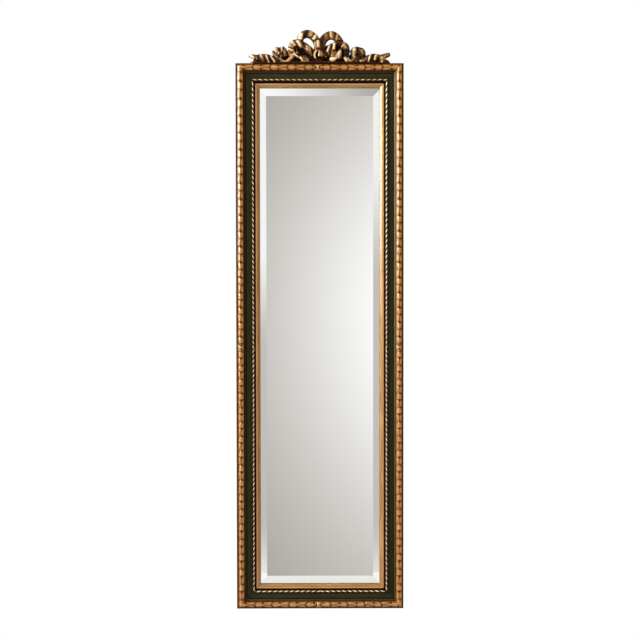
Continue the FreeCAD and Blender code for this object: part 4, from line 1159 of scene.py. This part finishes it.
# %% Lamps
def lamp(name, place, target, size, power):
    """A soft oblong lamp that is left out of reflections."""
    data = bpy.data.lights.new(name, "AREA")
    data.shape = "RECTANGLE"
    data.size, data.size_y = size
    data.energy = power
    made = bpy.data.objects.new(name, data)
    aim = (Vector(target) - Vector(place)).to_track_quat("-Z", "Y")
    made.matrix_world = Matrix.Translation(place) @ aim.to_matrix().to_4x4()
    made.visible_glossy = False
    bpy.context.scene.collection.objects.link(made)


lamp("key_lamp", place=(-2.75, -1.15, 0.5), target=(0, 0, -0.1), size=(0.9, 1.5), power=52)
lamp("fill_lamp", place=(0.4, -2.6, 2.2), target=(0, 0, -0.4), size=(1.6, 1.0), power=40)
print("lamps: 2")

# %% The world: a white background and an even light
even_light = 0.34
world = bpy.data.worlds.new("studio")
bpy.context.scene.world = world
sky = Finish(world)
seen = sky.node("LightPath", output="Is Camera Ray")
mirrored = Wire(sky, seen.socket.node.outputs["Is Glossy Ray"])
through = Wire(sky, seen.socket.node.outputs["Is Transmission Ray"])
strength = even_light + seen.most(mirrored).most(through) * (1 - even_light)
sky.finish_with(sky.node("Background", sockets={"Color": (1, 1, 1, 1), "Strength": strength}))
print("even light", even_light)

# %% The floor
floor_level = -1.5
floor_corners = [(-3, -2.35), (3, -2.35), (3, 1.2), (-3, 1.2)]
floor_mesh = bpy.data.meshes.new("floor")
floor_mesh.from_pydata([(x, y, floor_level) for x, y in floor_corners], [], [(0, 1, 2, 3)])
floor = bpy.data.objects.new("floor", floor_mesh)
bpy.context.scene.collection.objects.link(floor)
pale = new_finish("pale_floor")
_, (beside, away, _) = pale.place()
away = away + 0.5
reach = (beside * beside + away * away) ** 0.5
lit = pale.node("BsdfDiffuse", sockets={"Color": (0.82, 0.82, 0.81, 1)})
white = pale.node("Emission", sockets={"Color": (1, 1, 1, 1), "Strength": 1.0})
pale.finish_with(pale.node("MixShader", sockets={0: reach.rise(0.2, 1.0), 1: lit, 2: white}))
floor_mesh.materials.append(pale.owner)
print("floor at", floor_level)

# %% The dome that only reflections see
dome_radius = 4.2
dome_centre = (0, 0, -0.4)
dome_lift = 1.35
turns, tiers = 48, 24
round_about = np.linspace(0, 2 * math.pi, turns, endpoint=False)
angle, lift = np.meshgrid(round_about, np.linspace(-dome_lift, dome_lift, tiers))
on_ball = np.stack([np.sin(angle) * np.cos(lift), -np.cos(angle) * np.cos(lift), np.sin(lift)], -1)
dome_points = on_ball.reshape(-1, 3) * dome_radius + np.array(dome_centre)
dome = make_object("room_dome", dome_points, grid_faces(tiers, turns))
dome.visible_camera = dome.visible_diffuse = dome.visible_shadow = False
dome.visible_transmission = dome.visible_volume_scatter = False
print("dome radius", dome_radius)

# %% What the room looks like in a reflection
room = new_finish("room")
_, (across, _, up) = room.place()
beside = (across - 0.93) / 1.17
above = (up + 0.42).most(0) / 1.35
below = (up + 0.42).least(0) / 1.5
glow = room.node("Math", {"operation": "EXPONENT"}, {0: (beside**2 + above * above + below * below) * -1})
left_side = 1 - across.rise(-0.8, -0.35)
right_side = across.rise(0.5, 0.95)
far_left = 1 - across.rise(-2.6, -1.5)
far_right = across.rise(1.5, 2.4)
tall_window = far_left * up.rise(-0.35, 0.1)
near_ceiling = up.rise(1.1, 1.45) * (1 - left_side) * (1 - right_side) * (1 - across.rise(-0.4, 0.45))
near_floor = 1 - up.rise(-2.05, -1.55)
wall_level = 0.3
window_level = 17
lit_parts = [
    (glow * (1 - right_side), 0.96),
    (left_side, 0.22),
    (right_side, 0.26),
    (left_side * up.rise(-0.65, -0.05), 0.42),
    (right_side * up.rise(-0.3, 0.4), 0.38),
    (near_ceiling, 0.73),
    (near_floor * left_side, 0.55),
    (near_floor * right_side, 0.42),
]
level = wall_level
for part, strength in lit_parts:
    level = part * strength + level
level = level * (1 - far_right * 0.75) + tall_window * window_level
tint = room.mix(level.rise(0.45, 0.95), (1.03, 1.0, 0.955, 1), (1.0, 1.0, 1.01, 1))
tint = room.mix(far_right, tint, (1, 0.8, 0.6, 1))
tint = room.mix(tall_window, tint, (0.8, 1.0, 1.12, 1))
room.finish_with(room.node("Emission", sockets={"Color": tint, "Strength": level}))
room.owner.cycles.emission_sampling = "NONE"
dome.data.materials.append(room.owner)
print("lit parts of the room:", len(lit_parts))
